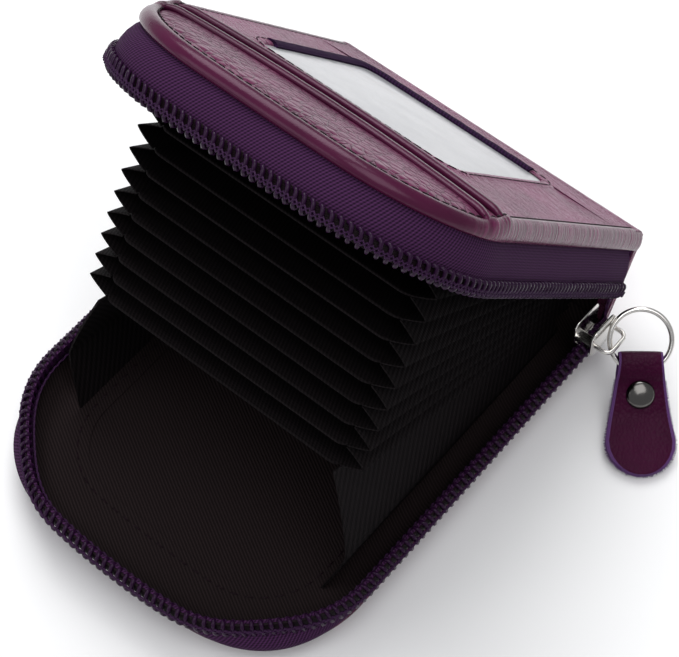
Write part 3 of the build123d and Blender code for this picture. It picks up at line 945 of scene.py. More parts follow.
def coil_bed(side, spots):
    """Thickened edge of the tape under the turns, near black as painted shade under the coil."""
    rows = [[off_line(at, away, out, height) for out, height in BED_SHAPE] for at, away in spots]
    bed = skin(side + "_coil_bed", rows)
    # the near-black thread colour stands for the shade under the coil
    finish_in_half(bed, side, side + "_coil_bed", "seam_thread")


def coil_threads(side, place, turns, pitch):
    """Two sewing threads that cross over every turn, outside, and one line of stitches inside."""
    for label, phase, lowest, highest, out in COIL_THREADS:
        line = []
        for i in range(turns * 2 + 1):
            at, away = place(TURN_PITCH / 2 + (i + CROSSING_SHIFT) * pitch / 2)
            rise = lowest + (highest - lowest) * ((i + phase) % 2)
            reach = TURN_T * out * (1.0 if i % 2 else CROSSING_IN)
            line.append(off_line(at, away, reach, COIL_FOOT + rise * TURN_H))
        name = f"{side}_{label}_coil_thread"
        finish_in_half(tube(name, line, THREAD_R, 5), side, name, "zip_thread", 70.0)


def coil_row(side):
    """A coil with its core, its bed on the tape's edge and the threads that sew it down."""
    place, length = coil_line(side)
    turns = int(length / TURN_PITCH) - 1
    pitch = (length - TURN_PITCH) / turns
    zip_coil(side, place, turns, pitch)
    core_cord(side, [place(length * i / (turns * 2)) for i in range(turns * 2 + 1)])
    coil_bed(side, [place(length * i / turns) for i in range(turns + 1)])
    coil_threads(side, place, turns, pitch)


# Cover pieces that both halves have

def rim_puff(side, y):
    """How much higher the rim stands here than the back one: the front one is wrapped over the pockets."""
    if side == "back":
        return 0.0
    swell = sum(math.exp(-(((y - end_y) / END_SPREAD) ** 2)) for end_y in POCKET_ENDS)
    return FRONT_PUFF + POCKET_LIFT * ease(within((y - LIFT_FROM) / LIFT_RUN)) + END_SWELL * swell


RIM_PROFILE = (
    # out, height, share of the puff
    (-0.0030, 0.0010, 0.5),
    (-0.0021, 0.0008, 0.8),
    (-0.0018, 0.0003, 1.0),
    (-0.0012, 0.0001, 1.1),
    (-0.0006, 0.0001, 1.1),
    (0.0001, 0.0003, 0.95),
    (0.0006, 0.0007, 0.7),
    (0.0009, 0.0012, 0.4),
    (0.0010, 0.0017, 0.2),
    (0.0009, 0.0022, 0.0),
    (0.0005, 0.0026, 0.0),
    (0.0000, 0.0028, 0.0),
    (-0.0006, 0.0028, 0.0),
    (-0.0010, 0.0026, 0.0),
    (-0.0013, 0.0022, 0.0),
    (-0.0030, 0.0020, 0.0),
)


def rim(side):
    """Leather rolled round the cover's edge, and on the front up over the pockets' sides."""
    uneven, wrinkle = 0.00005, 0.00004
    rows = []
    for at, away in edge_line(0.0, COVER_END, RIM_STEP):
        row = []
        for out, height, share in RIM_PROFILE:
            push = uneven * ripple(at.x * 70 + out * 90, at.y * 70 + height * 90, 8.0)
            pinch = wrinkle * ripple(at.x * 900, at.y * 900, 2.0) if share else 0.0
            row.append(off_line(at, away, out + push, height - rim_puff(side, at.y) * share + pinch))
        rows.append(row)
    piece = skin(side + "_rim_leather", rows)
    finish_in_half(piece, side, side + "_rim_leather", "rim_leather")
    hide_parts(side + "_rim")


def rim_stitches(side):
    """Stitches along the inner edge of the rim's roll."""
    places = seam_places(
        edge_line(-PANEL_IN, COVER_END - 0.003, 0.0020),
        lambda middle: 0.0001 - rim_puff(side, middle.y),
        lambda away: Vector((-away.x * 0.5, -away.y * 0.5, -1)).normalized())
    stitch_row(side + "_rim_stitches", places, 0.0018, 0.00016, "seam_thread", HALF_BODY[side],
               HALVES[side])


def panel(side):
    """Pebbled cover panel, crowned, cut to the cover's line from a flat disc of leather."""
    line = edge_line(-PANEL_IN, COVER_END, count=PANEL_POINTS)
    piece = cut_disc([Vector((at.x, at.y, PANEL_EDGE_H)) for at, _ in line], "NGON")
    bpy.ops.object.mode_set(mode="EDIT")
    bpy.ops.mesh.select_all(action="SELECT")
    for inset, share in ((0.0004, -0.6), (0.0010, 0.0), (0.0025, 0.5), (0.0060, 0.85), (0.0120, 1.0)):
        bpy.ops.mesh.inset(thickness=0.00001, depth=0)
        shape = bmesh.from_edit_mesh(piece.data)
        middle = next(face for face in shape.faces if face.select)
        line = edge_line(-PANEL_IN - inset, COVER_END - inset * 0.6, count=PANEL_POINTS)
        level = PANEL_LEVEL[side] - PANEL_CROWN[side] * share
        for vert, (at, _) in zip(sorted(middle.verts, key=lambda vert: vert.index), line):
            vert.co = Vector((at.x, at.y, level))
        bmesh.update_edit_mesh(piece.data)
    bpy.ops.object.mode_set(mode="OBJECT")
    thicken(piece, PANEL_T, 1.0)
    outwards(piece)
    finish_in_half(piece, side, side + "_panel_leather", "pebbled_leather", 50.0)


def wall_lining(side):
    """Lining that turns up from the cover's floor and follows the tape to the coil."""
    name = side + "_wall_lining"
    profile = [(-0.0110, LINING_TOP + 0.00012), (-0.0075, LINING_TOP + 0.0002), (-0.0045, LINING_TOP + 0.0003),
               (-0.0027, 0.0040), (-0.0019, 0.0052), (-0.0012, 0.0066), (-0.0008, 0.0078), (-0.0008, 0.0088)]
    wall = edge_strip(name, profile, side, False, 0.00016, 15.0)
    thicken(wall, LINING_T)
    finish_in_half(wall, side, name, "twill_lining")
    declare_strip(profile, side)


def lining_hem(side):
    """Cord-like fold of tape that ends the lining under the coil."""
    inside = 0.0006
    reach = flare(side)
    line = [off_line(at, away, reach(at) - inside, HEM_H) for at, away in edge_line(0.0, TAPE_END, STRIP_STEP)]
    hem = tube(side + "_lining_hem", line, HEM_R)
    finish_in_half(hem, side, side + "_lining_hem", "zip_thread", 70.0)


def lining_stitches(side):
    """Stitches round the floor of the lining."""
    places = seam_places(
        edge_line(-0.0085, COVER_END - 0.002, 0.0030),
        lambda middle: LINING_TOP + 0.0004,
        lambda away: Vector((0, 0, 1)))
    stitch_row(side + "_lining_stitches", places, 0.0020, SEAM_STITCH_R, "seam_thread",
               HALF_BODY[side], HALVES[side])


# Outside of the front cover

def across_case(half_w, count=ROW_COUNT):
    """Places from the right side to the left, evenly spaced."""
    return [half_w * (1 - 2 * i / count) for i in range(count + 1)]


def pocket_edge(x, edge_y):
    """The bowed edge of a slip pocket: its place towards the spine at this x."""
    radius = (HALF_W ** 2 + POCKET_BOW ** 2) / (2 * POCKET_BOW)
    return edge_y - radius + math.sqrt(radius ** 2 - x * x)


def pocket_roll(name, edge_y, level):
    """Folded edge of a slip pocket, bowed towards the spine, a little open and low at its ends."""
    fade_from, end_drop, end_thin, opening, uneven = 0.90, 0.0009, 0.35, 0.0004, 0.04
    under_rim, measure_step, end_back = 0.0009, 0.0005, 0.003
    rim_line = edge_line(-under_rim, COVER_END, measure_step)
    end = max(at.x for at, _ in rim_line if at.x > 0 and at.y <= edge_y - end_back)
    thick, wide = Vector((0, 0, -ROLL_HALF_H)), Vector((0, ROLL_HALF_W, 0))
    rows = []
    for x in across_case(end, ROLL_COUNT):
        fade = max(0.0, abs(x) / end - fade_from) / (1 - fade_from)
        lift = opening * (1 - (x / end) ** 2) - end_drop * fade * fade
        swell = (1.0 + uneven * ripple(x * 200, 0, level * 900)) * (1 - end_thin * fade * fade)
        centre = Vector((x, pocket_edge(x, edge_y), -(level + ROLL_LIFT + lift)))
        rows.append(ring_of(centre, thick, wide, swell, ROLL_SIDES))
    finish_in_half(skin(name, rows), "front", name, "rim_leather")


def pocket_sheet(name, node, edge_y, level, inset, window=False):
    """Leather of a slip pocket, cut from the cover's line and its bowed edge, with or without the window."""
    top = level + POCKET_T
    window_count = 72
    outline = [at for at, _ in edge_line(-inset, COVER_END, 0.0015) if at.y > pocket_edge(at.x, edge_y)]
    right = [at for at in outline if at.x > 0]
    left = [at for at in outline if at.x < 0]
    inner = [x for x in across_case(HALF_W * 0.9, 40) if left[0].x < x < right[-1].x]
    edge = [Vector((x, pocket_edge(x, edge_y))) for x in inner]
    spots = [Vector((at.x, at.y, -top)) for at in right + edge + left]
    sheet = cut_disc(spots, "NOTHING" if window else "NGON")
    if window:
        hole = cut_disc([window_spot(i / window_count, 0.0, top) for i in range(window_count)], "NOTHING")
        join([sheet, hole])
        bpy.ops.object.mode_set(mode="EDIT")
        bpy.ops.mesh.select_all(action="SELECT")
        bpy.ops.mesh.bridge_edge_loops()
        bpy.ops.object.mode_set(mode="OBJECT")
    outwards(sheet)
    thicken(sheet, POCKET_T)
    outwards(sheet)
    finish_in_half(sheet, "front", name, "smooth_leather", 40.0)
    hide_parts(node)


STRAIGHT_W = WINDOW_HALF_W - WINDOW_R
STRAIGHT_L = WINDOW_HALF_L - WINDOW_R
WINDOW_RUNS = [STRAIGHT_L * 2, WINDOW_R * math.pi / 2, STRAIGHT_W * 2, WINDOW_R * math.pi / 2] * 2
WINDOW_CORNERS = [(STRAIGHT_W, -STRAIGHT_L), (STRAIGHT_W, STRAIGHT_L), (-STRAIGHT_W, STRAIGHT_L),
                  (-STRAIGHT_W, -STRAIGHT_L)]


def window_point(share):
    """Point at this share of the window's rounded outline, with the directions out of it and along it."""
    run = share * sum(WINDOW_RUNS)
    stretch = 0
    while run > WINDOW_RUNS[stretch] and stretch < len(WINDOW_RUNS) - 1:
        run -= WINDOW_RUNS[stretch]
        stretch += 1
    side, on_corner = divmod(stretch, 2)
    centre = Vector(WINDOW_CORNERS[(side + on_corner) % 4])
    a = math.pi / 2 * side + (run / WINDOW_R if on_corner else 0.0)
    away, way = Vector((math.cos(a), math.sin(a))), Vector((-math.sin(a), math.cos(a)))
    return centre + away * WINDOW_R + way * (0.0 if on_corner else run), away, way


def window_spot(share, out, level):
    """Point on the front cover, this far outside the window's outline and at this level."""
    at, away, _ = window_point(share)
    spot = at + away * out + WINDOW_AT
    return Vector((spot.x, spot.y, -level))


def window_border():
    """Leather border turned over the film round the window."""
    profile = [(-0.0006, -0.0004), (-0.0005, 0.0001), (0.0000, 0.00028), (0.0008, 0.0003), (0.0016, 0.00022),
               (0.0020, 0.0001), (0.0021, -0.0001)]
    count, stitch_count = 120, 84
    leather, seam_out, seam_rise = 0.00035, 0.0010, 0.00050
    rows = [[window_spot(i / count, out, POCKET_TOP + rise) for out, rise in profile] for i in range(count)]
    rows.append([point.copy() for point in rows[0]])
    border = skin("window_border", rows, around=False)
    outwards(border)
    thicken(border, leather)
    finish_in_half(border, "front", "window_border", "smooth_leather")
    places = []
    for i in range(stitch_count):
        share = (i + 0.5) / stitch_count
        spot = window_spot(share, seam_out, POCKET_TOP + seam_rise)
        places.append((spot, window_point(share)[2].to_3d(), Vector((0, 0, -1))))
    stitch_row("window_stitches", places, 0.0022, 0.00012, "seam_thread", "front_case",
               FRONT_HALF)


def film():
    """Clear window film, bulging a little."""
    count_w, count_l, uneven = 22, 24, 0.0001
    rows = []
    for i in range(count_l + 1):
        share_l = 2 * i / count_l - 1
        row = []
        for j in range(count_w + 1):
            share_w = 2 * j / count_w - 1
            x, y = FILM_HALF_W * share_w, FILM_HALF_L * share_l
            dome = (1 - share_w ** 2) * (1 - share_l ** 2)
            bulge = FILM_BULGE * dome ** 0.6 + uneven * ripple(x * 160, y * 160, 4.0) * dome
            row.append(Vector((x + WINDOW_AT.x, y + WINDOW_AT.y, -(POCKET_T + FILM_LIFT + bulge))))
        rows.append(row)
    sheet = skin("window_film_sheet", rows, around=False)
    thicken(sheet, FILM_T)
    finish_in_half(sheet, "front", "window_film_sheet", "clear_film")
    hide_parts("window_film")


def binding():
    """Woven binding folded over the film's far edge and down its left side."""
    count, uneven = 80, 0.00008
    three_stretches = sum(WINDOW_RUNS[:3])
    profile = ((-0.0016, -0.0003), (-0.0016, 0.0004), (-0.0009, 0.0008), (0.0003, 0.0009),
               (0.0011, 0.0007), (0.0013, 0.0002), (0.0000, -0.0003))
    rows = []
    for i in range(count + 1):
        share = (BINDING_FROM + (three_stretches - BINDING_FROM) * i / count) / sum(WINDOW_RUNS)
        at = window_point(share)[0]
        row = []
        for out, rise in profile:
            lift = uneven * ripple((at.x + at.y) * 400, out * 900, 6.0)
            row.append(window_spot(share, out, POCKET_TOP + rise + lift))
        rows.append(row)
    strip = skin("window_binding_strip", rows)
    finish_in_half(strip, "front", "window_binding_strip", "binding_tape", 50.0)
    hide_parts("window_binding")


# Spine and accordion

def spine_skin():
    """Leather of the spine with its two fold rolls."""
    up, out = normal(SPINE_TILT), -along(SPINE_TILT)
    roll_count, open_turn = 10, 0.22 * math.pi      # the rolls are open towards the wall between them
    out_wall, in_wall, hollow, uneven = 0.00072, 0.0007, 0.0002, 0.05
    profile = []
    for i in range(roll_count + 1):
        a = (math.pi - open_turn) * (1 - 2 * i / roll_count)
        profile.append((SPINE_H + math.cos(a) * FOLD_R, math.sin(a) * FOLD_R))
    for share in (0.85, 0.6, 0.4, 0.15):
        profile.append((SPINE_H * share, -out_wall - hollow * math.sin(math.pi * share)))
    for i in range(roll_count + 1):
        a = open_turn + (math.tau - 2 * open_turn) * i / roll_count
        profile.append((math.cos(a) * FOLD_R, -math.sin(a) * FOLD_R))
    profile += [(SPINE_H * share, in_wall) for share in (0.15, 0.5, 0.85)]
    rows = []
    for x in across_case(HALF_W):
        row = []
        for rise, depth in profile:
            swell = 1 + uneven * ripple(x * 90, rise * 90, 2.0)
            row.append(Vector((x, 0, 0)) + LOW_FOLD + up * rise - out * depth * swell)
        rows.append(row)
    piece = skin("spine_leather_skin", rows)
    finish_piece(piece, "spine_leather_skin", "smooth_leather", "spine")
    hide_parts("spine_leather")


def fold_leather():
    """Leather led from the front cover over the fold to the spine."""
    up, out = normal(SPINE_TILT), -along(SPINE_TILT)
    cover_out, mouth_way = normal(COVER_ANGLE), along(COVER_ANGLE)
    turned = (cover_out * 0.8 + out * 0.6).normalized()
    top, uneven, bend_reach = FOLD_R + POCKET_TOP + 0.0002, 0.00008, 0.0030
    path = [
        mouth_way * 0.0050 + cover_out * (FOLD_R + POCKET_TOP),
        mouth_way * 0.0036 + cover_out * top,
        mouth_way * 0.0015 + cover_out * (top * 0.95),
        turned * (top * 0.35 + FOLD_R * 0.85),
        (turned * 0.35 + out).normalized() * (FOLD_R * 1.12),
        out * 0.00125 - up * 0.0010,
        out * 0.00095 - up * 0.0028,
        out * 0.00078 - up * 0.0040,
    ]
    rows = [[HIGH_FOLD + point + Vector((x, 0, 0)) + out * uneven * ripple(x * 300, k, 4.0)
             for k, point in enumerate(path)] for x in across_case(HALF_W - 0.0004)]
    piece = skin("upper_fold_leather", rows, around=False)
    thicken(piece, LEATHER_T)
    finish_piece(piece, "upper_fold_leather", "smooth_leather", None)
    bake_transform(piece)


def leaf_angle(index):
    return SPINE_TILT + TOP_LEAF_SWING * index / (LEAF_COUNT - 1)


def leaf_pivot(index):
    return LOW_FOLD + normal(SPINE_TILT) * (FIRST_LEAF + index * LEAF_PITCH) + along(SPINE_TILT) * PIVOT_IN


def leaf_body(index):
    return "spine" if index == 0 else f"leaf_{index + 1:02d}"


def leaf(index):
    """Cloth leaf with a turned hem at the mouth and rounded corners."""
    hem_y = LEAF_HEM - LEAF_L
    shorter, hem_in, hem_swell, edge_r = 0.0006, 0.0003, 1.5, 0.0001
    piece = block((0, -LEAF_L / 2, 0), (LEAF_HALF_W * 2, LEAF_L - shorter, LEAF_T))
    bpy.ops.object.mode_set(mode="EDIT")
    pick_edges(piece, lambda middle, way: abs(way.z) > 0.9 and middle.y < -LEAF_L / 2)
    bpy.ops.mesh.bevel(offset=LEAF_CORNER_R, segments=6, affect="EDGES")
    bpy.ops.mesh.select_all(action="SELECT")
    bpy.ops.mesh.bisect(plane_co=(0, hem_y, 0), plane_no=(0, 1, 0))
    pick_faces(piece, lambda middle, face: abs(face.z) > 0.9 and middle.y < hem_y)
    bpy.ops.mesh.inset(thickness=hem_in)
    bpy.ops.transform.resize(value=(1, 1, hem_swell))
    bpy.ops.mesh.select_all(action="SELECT")
    bpy.ops.mesh.bevel(offset=edge_r, segments=1, affect="EDGES", clamp_overlap=True)
    bpy.ops.object.mode_set(mode="OBJECT")
    opened = Matrix.Rotation(-math.radians(leaf_angle(index)), 4, "X")
    piece.data.transform(Matrix.Translation(leaf_pivot(index)) @ opened)
    name = f"leaf_cloth_{index + 1:02d}"
    finish_piece(piece, name, "accordion_cloth", leaf_body(index), 40.0)
    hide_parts(f"leaf_{index + 1:02d}")


FOLD_SHARES = (0.0, 0.25, 0.5, 0.75, 0.92, 1.0, 1.08, 1.25, 1.5, 1.75, 2.0)     # up to the fold is 1


def side_fold(name, side, low_sheet, high_sheet, spine_end, outs, fold_share, cloth, rests_on):
    """One V of folded cloth between the edges of two sheets, with a rounded fold and a little slack.

    A sheet is the point that it turns on and its angle. The V runs from the mouth to this far from the spine,
    and outs are how far its foot and its fold stand out."""
    round_power, shallow, slack = 1.25, 0.35, 0.0002
    foot_out, fold_out = outs
    middle_angle = (low_sheet[1] + high_sheet[1]) / 2
    start = (low_sheet[0] + high_sheet[0]) / 2
    ahead, up = along(middle_angle), normal(middle_angle)
    mouth_end = LEAF_L - MOUTH_GAP
    rows = []
    for i in range(FOLD_ROWS + 1):
        reach = mouth_end + (spine_end - mouth_end) * i / FOLD_ROWS
        heights = []
        for at, angle in (low_sheet, high_sheet):
            foot = at - start
            slope = math.tan(math.radians(angle - middle_angle))
            heights.append(foot.dot(up) + (reach - foot.dot(ahead)) * slope)
        bottom, top = heights[0] + FOLD_GAP, heights[1] - FOLD_GAP
        if i == 0:
            mouth_rise = top - bottom
        depth = fold_out * (shallow + (1 - shallow) * (top - bottom) / mouth_rise)
        fold_h = bottom + (top - bottom) * fold_share
        wave = slack * ripple(reach * 120, low_sheet[1], side * 3.0)
        row = []
        for t in FOLD_SHARES:
            if t <= 1:
                out = foot_out + (depth - foot_out) * (1 - (1 - t) ** round_power)
                height = bottom + (fold_h - bottom) * t
            else:
                out = depth * (1 - (t - 1) ** round_power)
                height = fold_h + (top - fold_h) * (t - 1)
            out += LEAF_HALF_W - CLOTH_LAP + wave * math.sin(math.pi * min(t, 2 - t))
            row.append(start + ahead * reach + up * height + Vector((side * out, 0, 0)))
        rows.append(row)
    piece = skin(name, rows, around=False)
    thicken(piece, cloth)
    finish_piece(piece, name, "accordion_cloth", None)
    return piece


def blend_fold(piece, body_a, body_b, low_weight, low_sheet, high_sheet, run):
    """Bakes a fold's place into its mesh; the fold is not bent between the two bodies. low_weight, the share of
    the turn that its lower edge already follows, is not used.
    """
    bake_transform(piece)


def accordion():
    """The leaves, the pleats from each to the next and to the front cover, and the webs under the leaves."""
    pleat_end, web_end = 0.003, 0.006           # from the spine
    pleat_turn_at, web_turn_at = 0.05, 0.045    # where the blend is measured, along the leaf
    for index in range(LEAF_COUNT):
        leaf(index)
    lining_h = LINING_TOP + LINING_LIFT
    back_sheet = (Vector((0, COVER_END, lining_h)), 0.0)
    front_sheet = (FRONT_AT - along(COVER_ANGLE) * COVER_END - normal(COVER_ANGLE) * lining_h, COVER_ANGLE)
    sheets = [(leaf_pivot(i), leaf_angle(i)) for i in range(LEAF_COUNT)] + [front_sheet]
    bodies = [leaf_body(i) for i in range(LEAF_COUNT)] + ["front_case"]
    for side_name, side in (("right", 1), ("left", -1)):
        for i in range(LEAF_COUNT):
            pair = sheets[i:i + 2]
            low_turn, high_turn = (angle - SPINE_TILT for _, angle in pair)
            pleat = side_fold(f"{side_name}_pleat_{i + 1:02d}", side, *pair, pleat_end, (0.0, PLEAT_OUT), 0.5,
                              PLEAT_T, [f"leaf_cloth_{i + 1:02d}"])
            blend_fold(pleat, "spine", bodies[i + 1], low_turn / high_turn, *pair, pleat_turn_at)
            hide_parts(side_name + "_pleats")
        web = side_fold(side_name + "_web_cloth", side, back_sheet, sheets[0], web_end,
                        (WEB_FOOT_OUT, WEB_OUT), 0.4, WEB_T, ["leaf_cloth_01", "back_lining"])
        blend_fold(web, "back_case", "spine", 0.0, back_sheet, sheets[0], web_turn_at)
        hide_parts(side_name + "_cash_web")


def fold_lining(half):
    """Lining led over the fold between a cover and the spine."""
    back = half == "back"
    fold_at, cover_angle, turn = (LOW_FOLD, 0.0, 1) if back else (HIGH_FOLD, COVER_ANGLE, -1)
    cover_in, spine_in, up = normal(cover_angle) * turn, along(SPINE_TILT), normal(SPINE_TILT) * turn
    mouth_way = along(cover_angle)
    level = LINING_TOP - FOLD_R + 0.00025
    path = [
        fold_at + mouth_way * 0.0060 + cover_in * level,
        fold_at + mouth_way * 0.0034 + cover_in * level,
        fold_at + (mouth_way * 0.6 + cover_in).normalized() * (level + 0.0004),
        fold_at + (spine_in + up * 1.3).normalized() * 0.0030,
        fold_at + up * 0.0042 + spine_in * 0.0015,
    ]
    name = half + "_fold_lining"
    rows = [[point + Vector((x, 0, 0)) for point in path] for x in across_case(HALF_W - 0.0012, 30)]
    piece = skin(name, rows, around=False)
    thicken(piece, LINING_T)
    finish_piece(piece, name, "twill_lining", None)
    blend_at_fold(piece, half)


def blend_at_fold(piece, half):
    """Bakes the place of a piece between a cover and the spine into its mesh; it is not bent."""
    if half == "back":
        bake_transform(piece)
    else:
        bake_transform(piece)


def end_gusset(side_name, side, half):
    """Web of tape from the end of a zip half to the spine's side."""
    up, out = normal(SPINE_TILT), -along(SPINE_TILT)
    count, slack, stretch = 6, 0.0007, 1.02
    tape_side, spine_side = [], []
    for height in (0.0016, 0.0036, 0.0058, 0.0080, 0.0100, 0.0116):
        x = side * (HALF_W - 0.0001 + FLARE_SLIDER * flare_share(height))
        place = Vector((x, TAPE_END - 0.0004, height))
        if half == "front":
            place.x = -place.x
        tape_side.append(HALVES[half] @ place)
        rise = up * height * stretch
        foot = LOW_FOLD + rise if half == "back" else HIGH_FOLD - rise
        spine_side.append(foot + out * 0.0002 + Vector((side * (HALF_W - 0.0006), 0, 0)))
    rows = []
    for i in range(count + 1):
        sag = slack * math.sin(math.pi * i / count)
        rows.append([near.lerp(far, i / count) - Vector((side * sag * (0.4 + k / 8), 0, 0))
                     for k, (near, far) in enumerate(zip(tape_side, spine_side))])
    name = f"{side_name}_{half}_gusset"
    web = skin(name, rows, around=False)
    thicken(web, GUSSET_T)
    finish_piece(web, name, "zip_tape", None)
    near, far = tape_side[-1].copy(), spine_side[-1].copy()
    near.x = far.x = 0.0
    blend_at_fold(web, half)


# Slider and pull

def slider():
    """Zip slider: two domed plates on a wedge, with turned-in lower lips."""
    low_corner, high_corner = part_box("slider_body")
    middle = (low_corner + high_corner) / 2
    size = high_corner - low_corner
    row_x = HALF_W + FLARE_SLIDER
    corner_r, edge_r, lip_edge_r = 0.0018, 0.00025, 0.0002
    wedge_back, wedge_short, wedge_scale = 0.0013, 0.001, (0.66, 2.1, 1)
    pieces = []
    for x in (low_corner.x + PLATE_T / 2, high_corner.x - PLATE_T / 2):
        plate = block((x, middle.y, middle.z), (PLATE_T, size.y, size.z))
        bpy.ops.object.mode_set(mode="EDIT")
        pick_edges(plate, lambda at, way: abs(way.x) > 0.9)
        bpy.ops.mesh.bevel(offset=corner_r, segments=6, affect="EDGES")
        pick_faces(plate, lambda at, face: abs(face.x) > 0.9)
        bpy.ops.mesh.bevel(offset=edge_r, segments=3, affect="EDGES")
        bpy.ops.object.mode_set(mode="OBJECT")
        pieces.append(plate)
    clear_selection()
    bpy.ops.mesh.primitive_cylinder_add(vertices=24, radius=WEDGE_R, depth=size.x - wedge_short,
                                        location=(row_x, low_corner.y + wedge_back, middle.z),
                                        rotation=(0, math.pi / 2, 0))
    wedge = bpy.context.object
    wedge.scale = wedge_scale
    bpy.ops.object.transform_apply(location=True, rotation=True, scale=True)
    pieces.append(wedge)
    lip_inset, half_slot = 0.0004, 0.0007
    lips = ((low_corner.x + lip_inset, row_x - half_slot), (row_x + half_slot, high_corner.x - lip_inset))
    for x_from, x_to in lips:
        lip = block(((x_from + x_to) / 2, middle.y, low_corner.z + LIP_H / 2), (x_to - x_from, LIP_L, LIP_H))
        bpy.ops.object.mode_set(mode="EDIT")
        bpy.ops.mesh.bevel(offset=lip_edge_r, segments=2, affect="EDGES")
        bpy.ops.object.mode_set(mode="OBJECT")
        pieces.append(lip)
    body = join(pieces)
    finish_piece(body, "slider_shell", "nickel", "slider", 50.0)
    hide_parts("slider_body")


def arch():
    """Bent bridge on the slider that holds the ring, made from a rounded bar."""
    low_corner, high_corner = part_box("slider_arch")
    middle = (low_corner + high_corner) / 2
    size = high_corner - low_corner
    inner_y, top_x = (size.y - ARCH_BAR) / 2, size.x - ARCH_BAR / 2
    foot_in = 0.0004
    points = [(-foot_in, -inner_y), (top_x - ARCH_R, -inner_y)]
    for k in range(1, 5):
        a = math.pi / 8 * k
        points.append((top_x - ARCH_R + ARCH_R * math.sin(a), -inner_y + ARCH_R - ARCH_R * math.cos(a)))
    points += [(x, -y) for x, y in reversed(points)]
    centres = [Vector((low_corner.x + x, middle.y + y, middle.z)) for x, y in points]
    rise = Vector((0, 0, ARCH_BAR_R))
    rows = [ring_of(centre, ahead.cross(rise).normalized() * ARCH_BAR / 2, rise, 1.0, 12)
            for centre, ahead in zip(centres, headings(centres))]
    piece = skin("slider_bridge", rows)
    finish_piece(piece, "slider_bridge", "nickel", "slider", 50.0)
    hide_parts("slider_arch")


outward = Vector((math.cos(PULL_AZ), math.sin(PULL_AZ), 0))
facing = Vector((math.sin(PULL_AZ), -math.cos(PULL_AZ), 0))
ring_down = facing * math.cos(RING_SLOPE) - Vector((0, 0, math.sin(RING_SLOPE)))
ring_normal = facing * math.sin(RING_SLOPE) + Vector((0, 0, math.cos(RING_SLOPE)))
ring_low, ring_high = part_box("pull_ring")
PULL_FRAME = frame_of(outward, ring_down, ring_normal, (ring_low + ring_high) / 2)


def ring():
    """Nickel wire ring with the joint where its ends meet."""
    joint_reach, joint_edge, joint_depth = 0.03, 0.00006, 0.00014
    clear_selection()
    bpy.ops.mesh.primitive_torus_add(major_radius=RING_R, minor_radius=WIRE_R, major_segments=72,
                                     minor_segments=16)
    piece = bpy.context.object
    bpy.ops.object.mode_set(mode="EDIT")
    pick_faces(piece, lambda at, face: abs(math.atan2(at.y, at.x) - RING_JOINT_AT) < joint_reach)
    bpy.ops.mesh.inset(thickness=joint_edge)
    bpy.ops.transform.shrink_fatten(value=-joint_depth)
    bpy.ops.object.mode_set(mode="OBJECT")
    piece.data.transform(PULL_FRAME)
    outwards(piece)
    finish_piece(piece, "pull_wire_ring", "nickel", "ring")
    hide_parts("pull_ring")


def strap_middle(run):
    """Middle of the folded strap at this run below the ring's centre, with its upward direction."""
    if run <= BEND_AT:
        return Vector((run, 0)), Vector((0, 1))
    turn = min((run - BEND_AT) / BEND_R, BEND)
    rest = max(0.0, run - BEND_AT - BEND_R * BEND)
    ahead, up = Vector((math.cos(turn), math.sin(turn))), Vector((-math.sin(turn), math.cos(turn)))
    return Vector((BEND_AT, BEND_R)) - up * BEND_R + ahead * rest, up


def strap_half_width(run):
    """Half the strap's width: narrow at the fold and round at the tip."""
    if run > TIP_CENTRE:
        return math.sqrt(max(STRAP_HALF_W ** 2 - (run - TIP_CENTRE) ** 2, 0.0))
    share = max(0.0, (run - NECK_END) / (TIP_CENTRE - NECK_END))
    return STRAP_NECK + (STRAP_HALF_W - STRAP_NECK) * share ** 1.15


STRAP_SHAPE = (
    # shares of the half width to the side, and of the leather's thickness up
    (-1.0, -0.40), (-1.0, 0.30), (-0.90, 0.44), (-0.6, 0.50), (0.0, 0.52), (0.6, 0.50),
    (0.90, 0.44), (1.0, 0.30), (1.0, -0.40), (0.94, -0.47), (0.0, -0.47), (-0.94, -0.47),
)
EDGE_FACES = (0, 1, 6, 7, 8, 11)     # the faces of that shape that show the raw edge


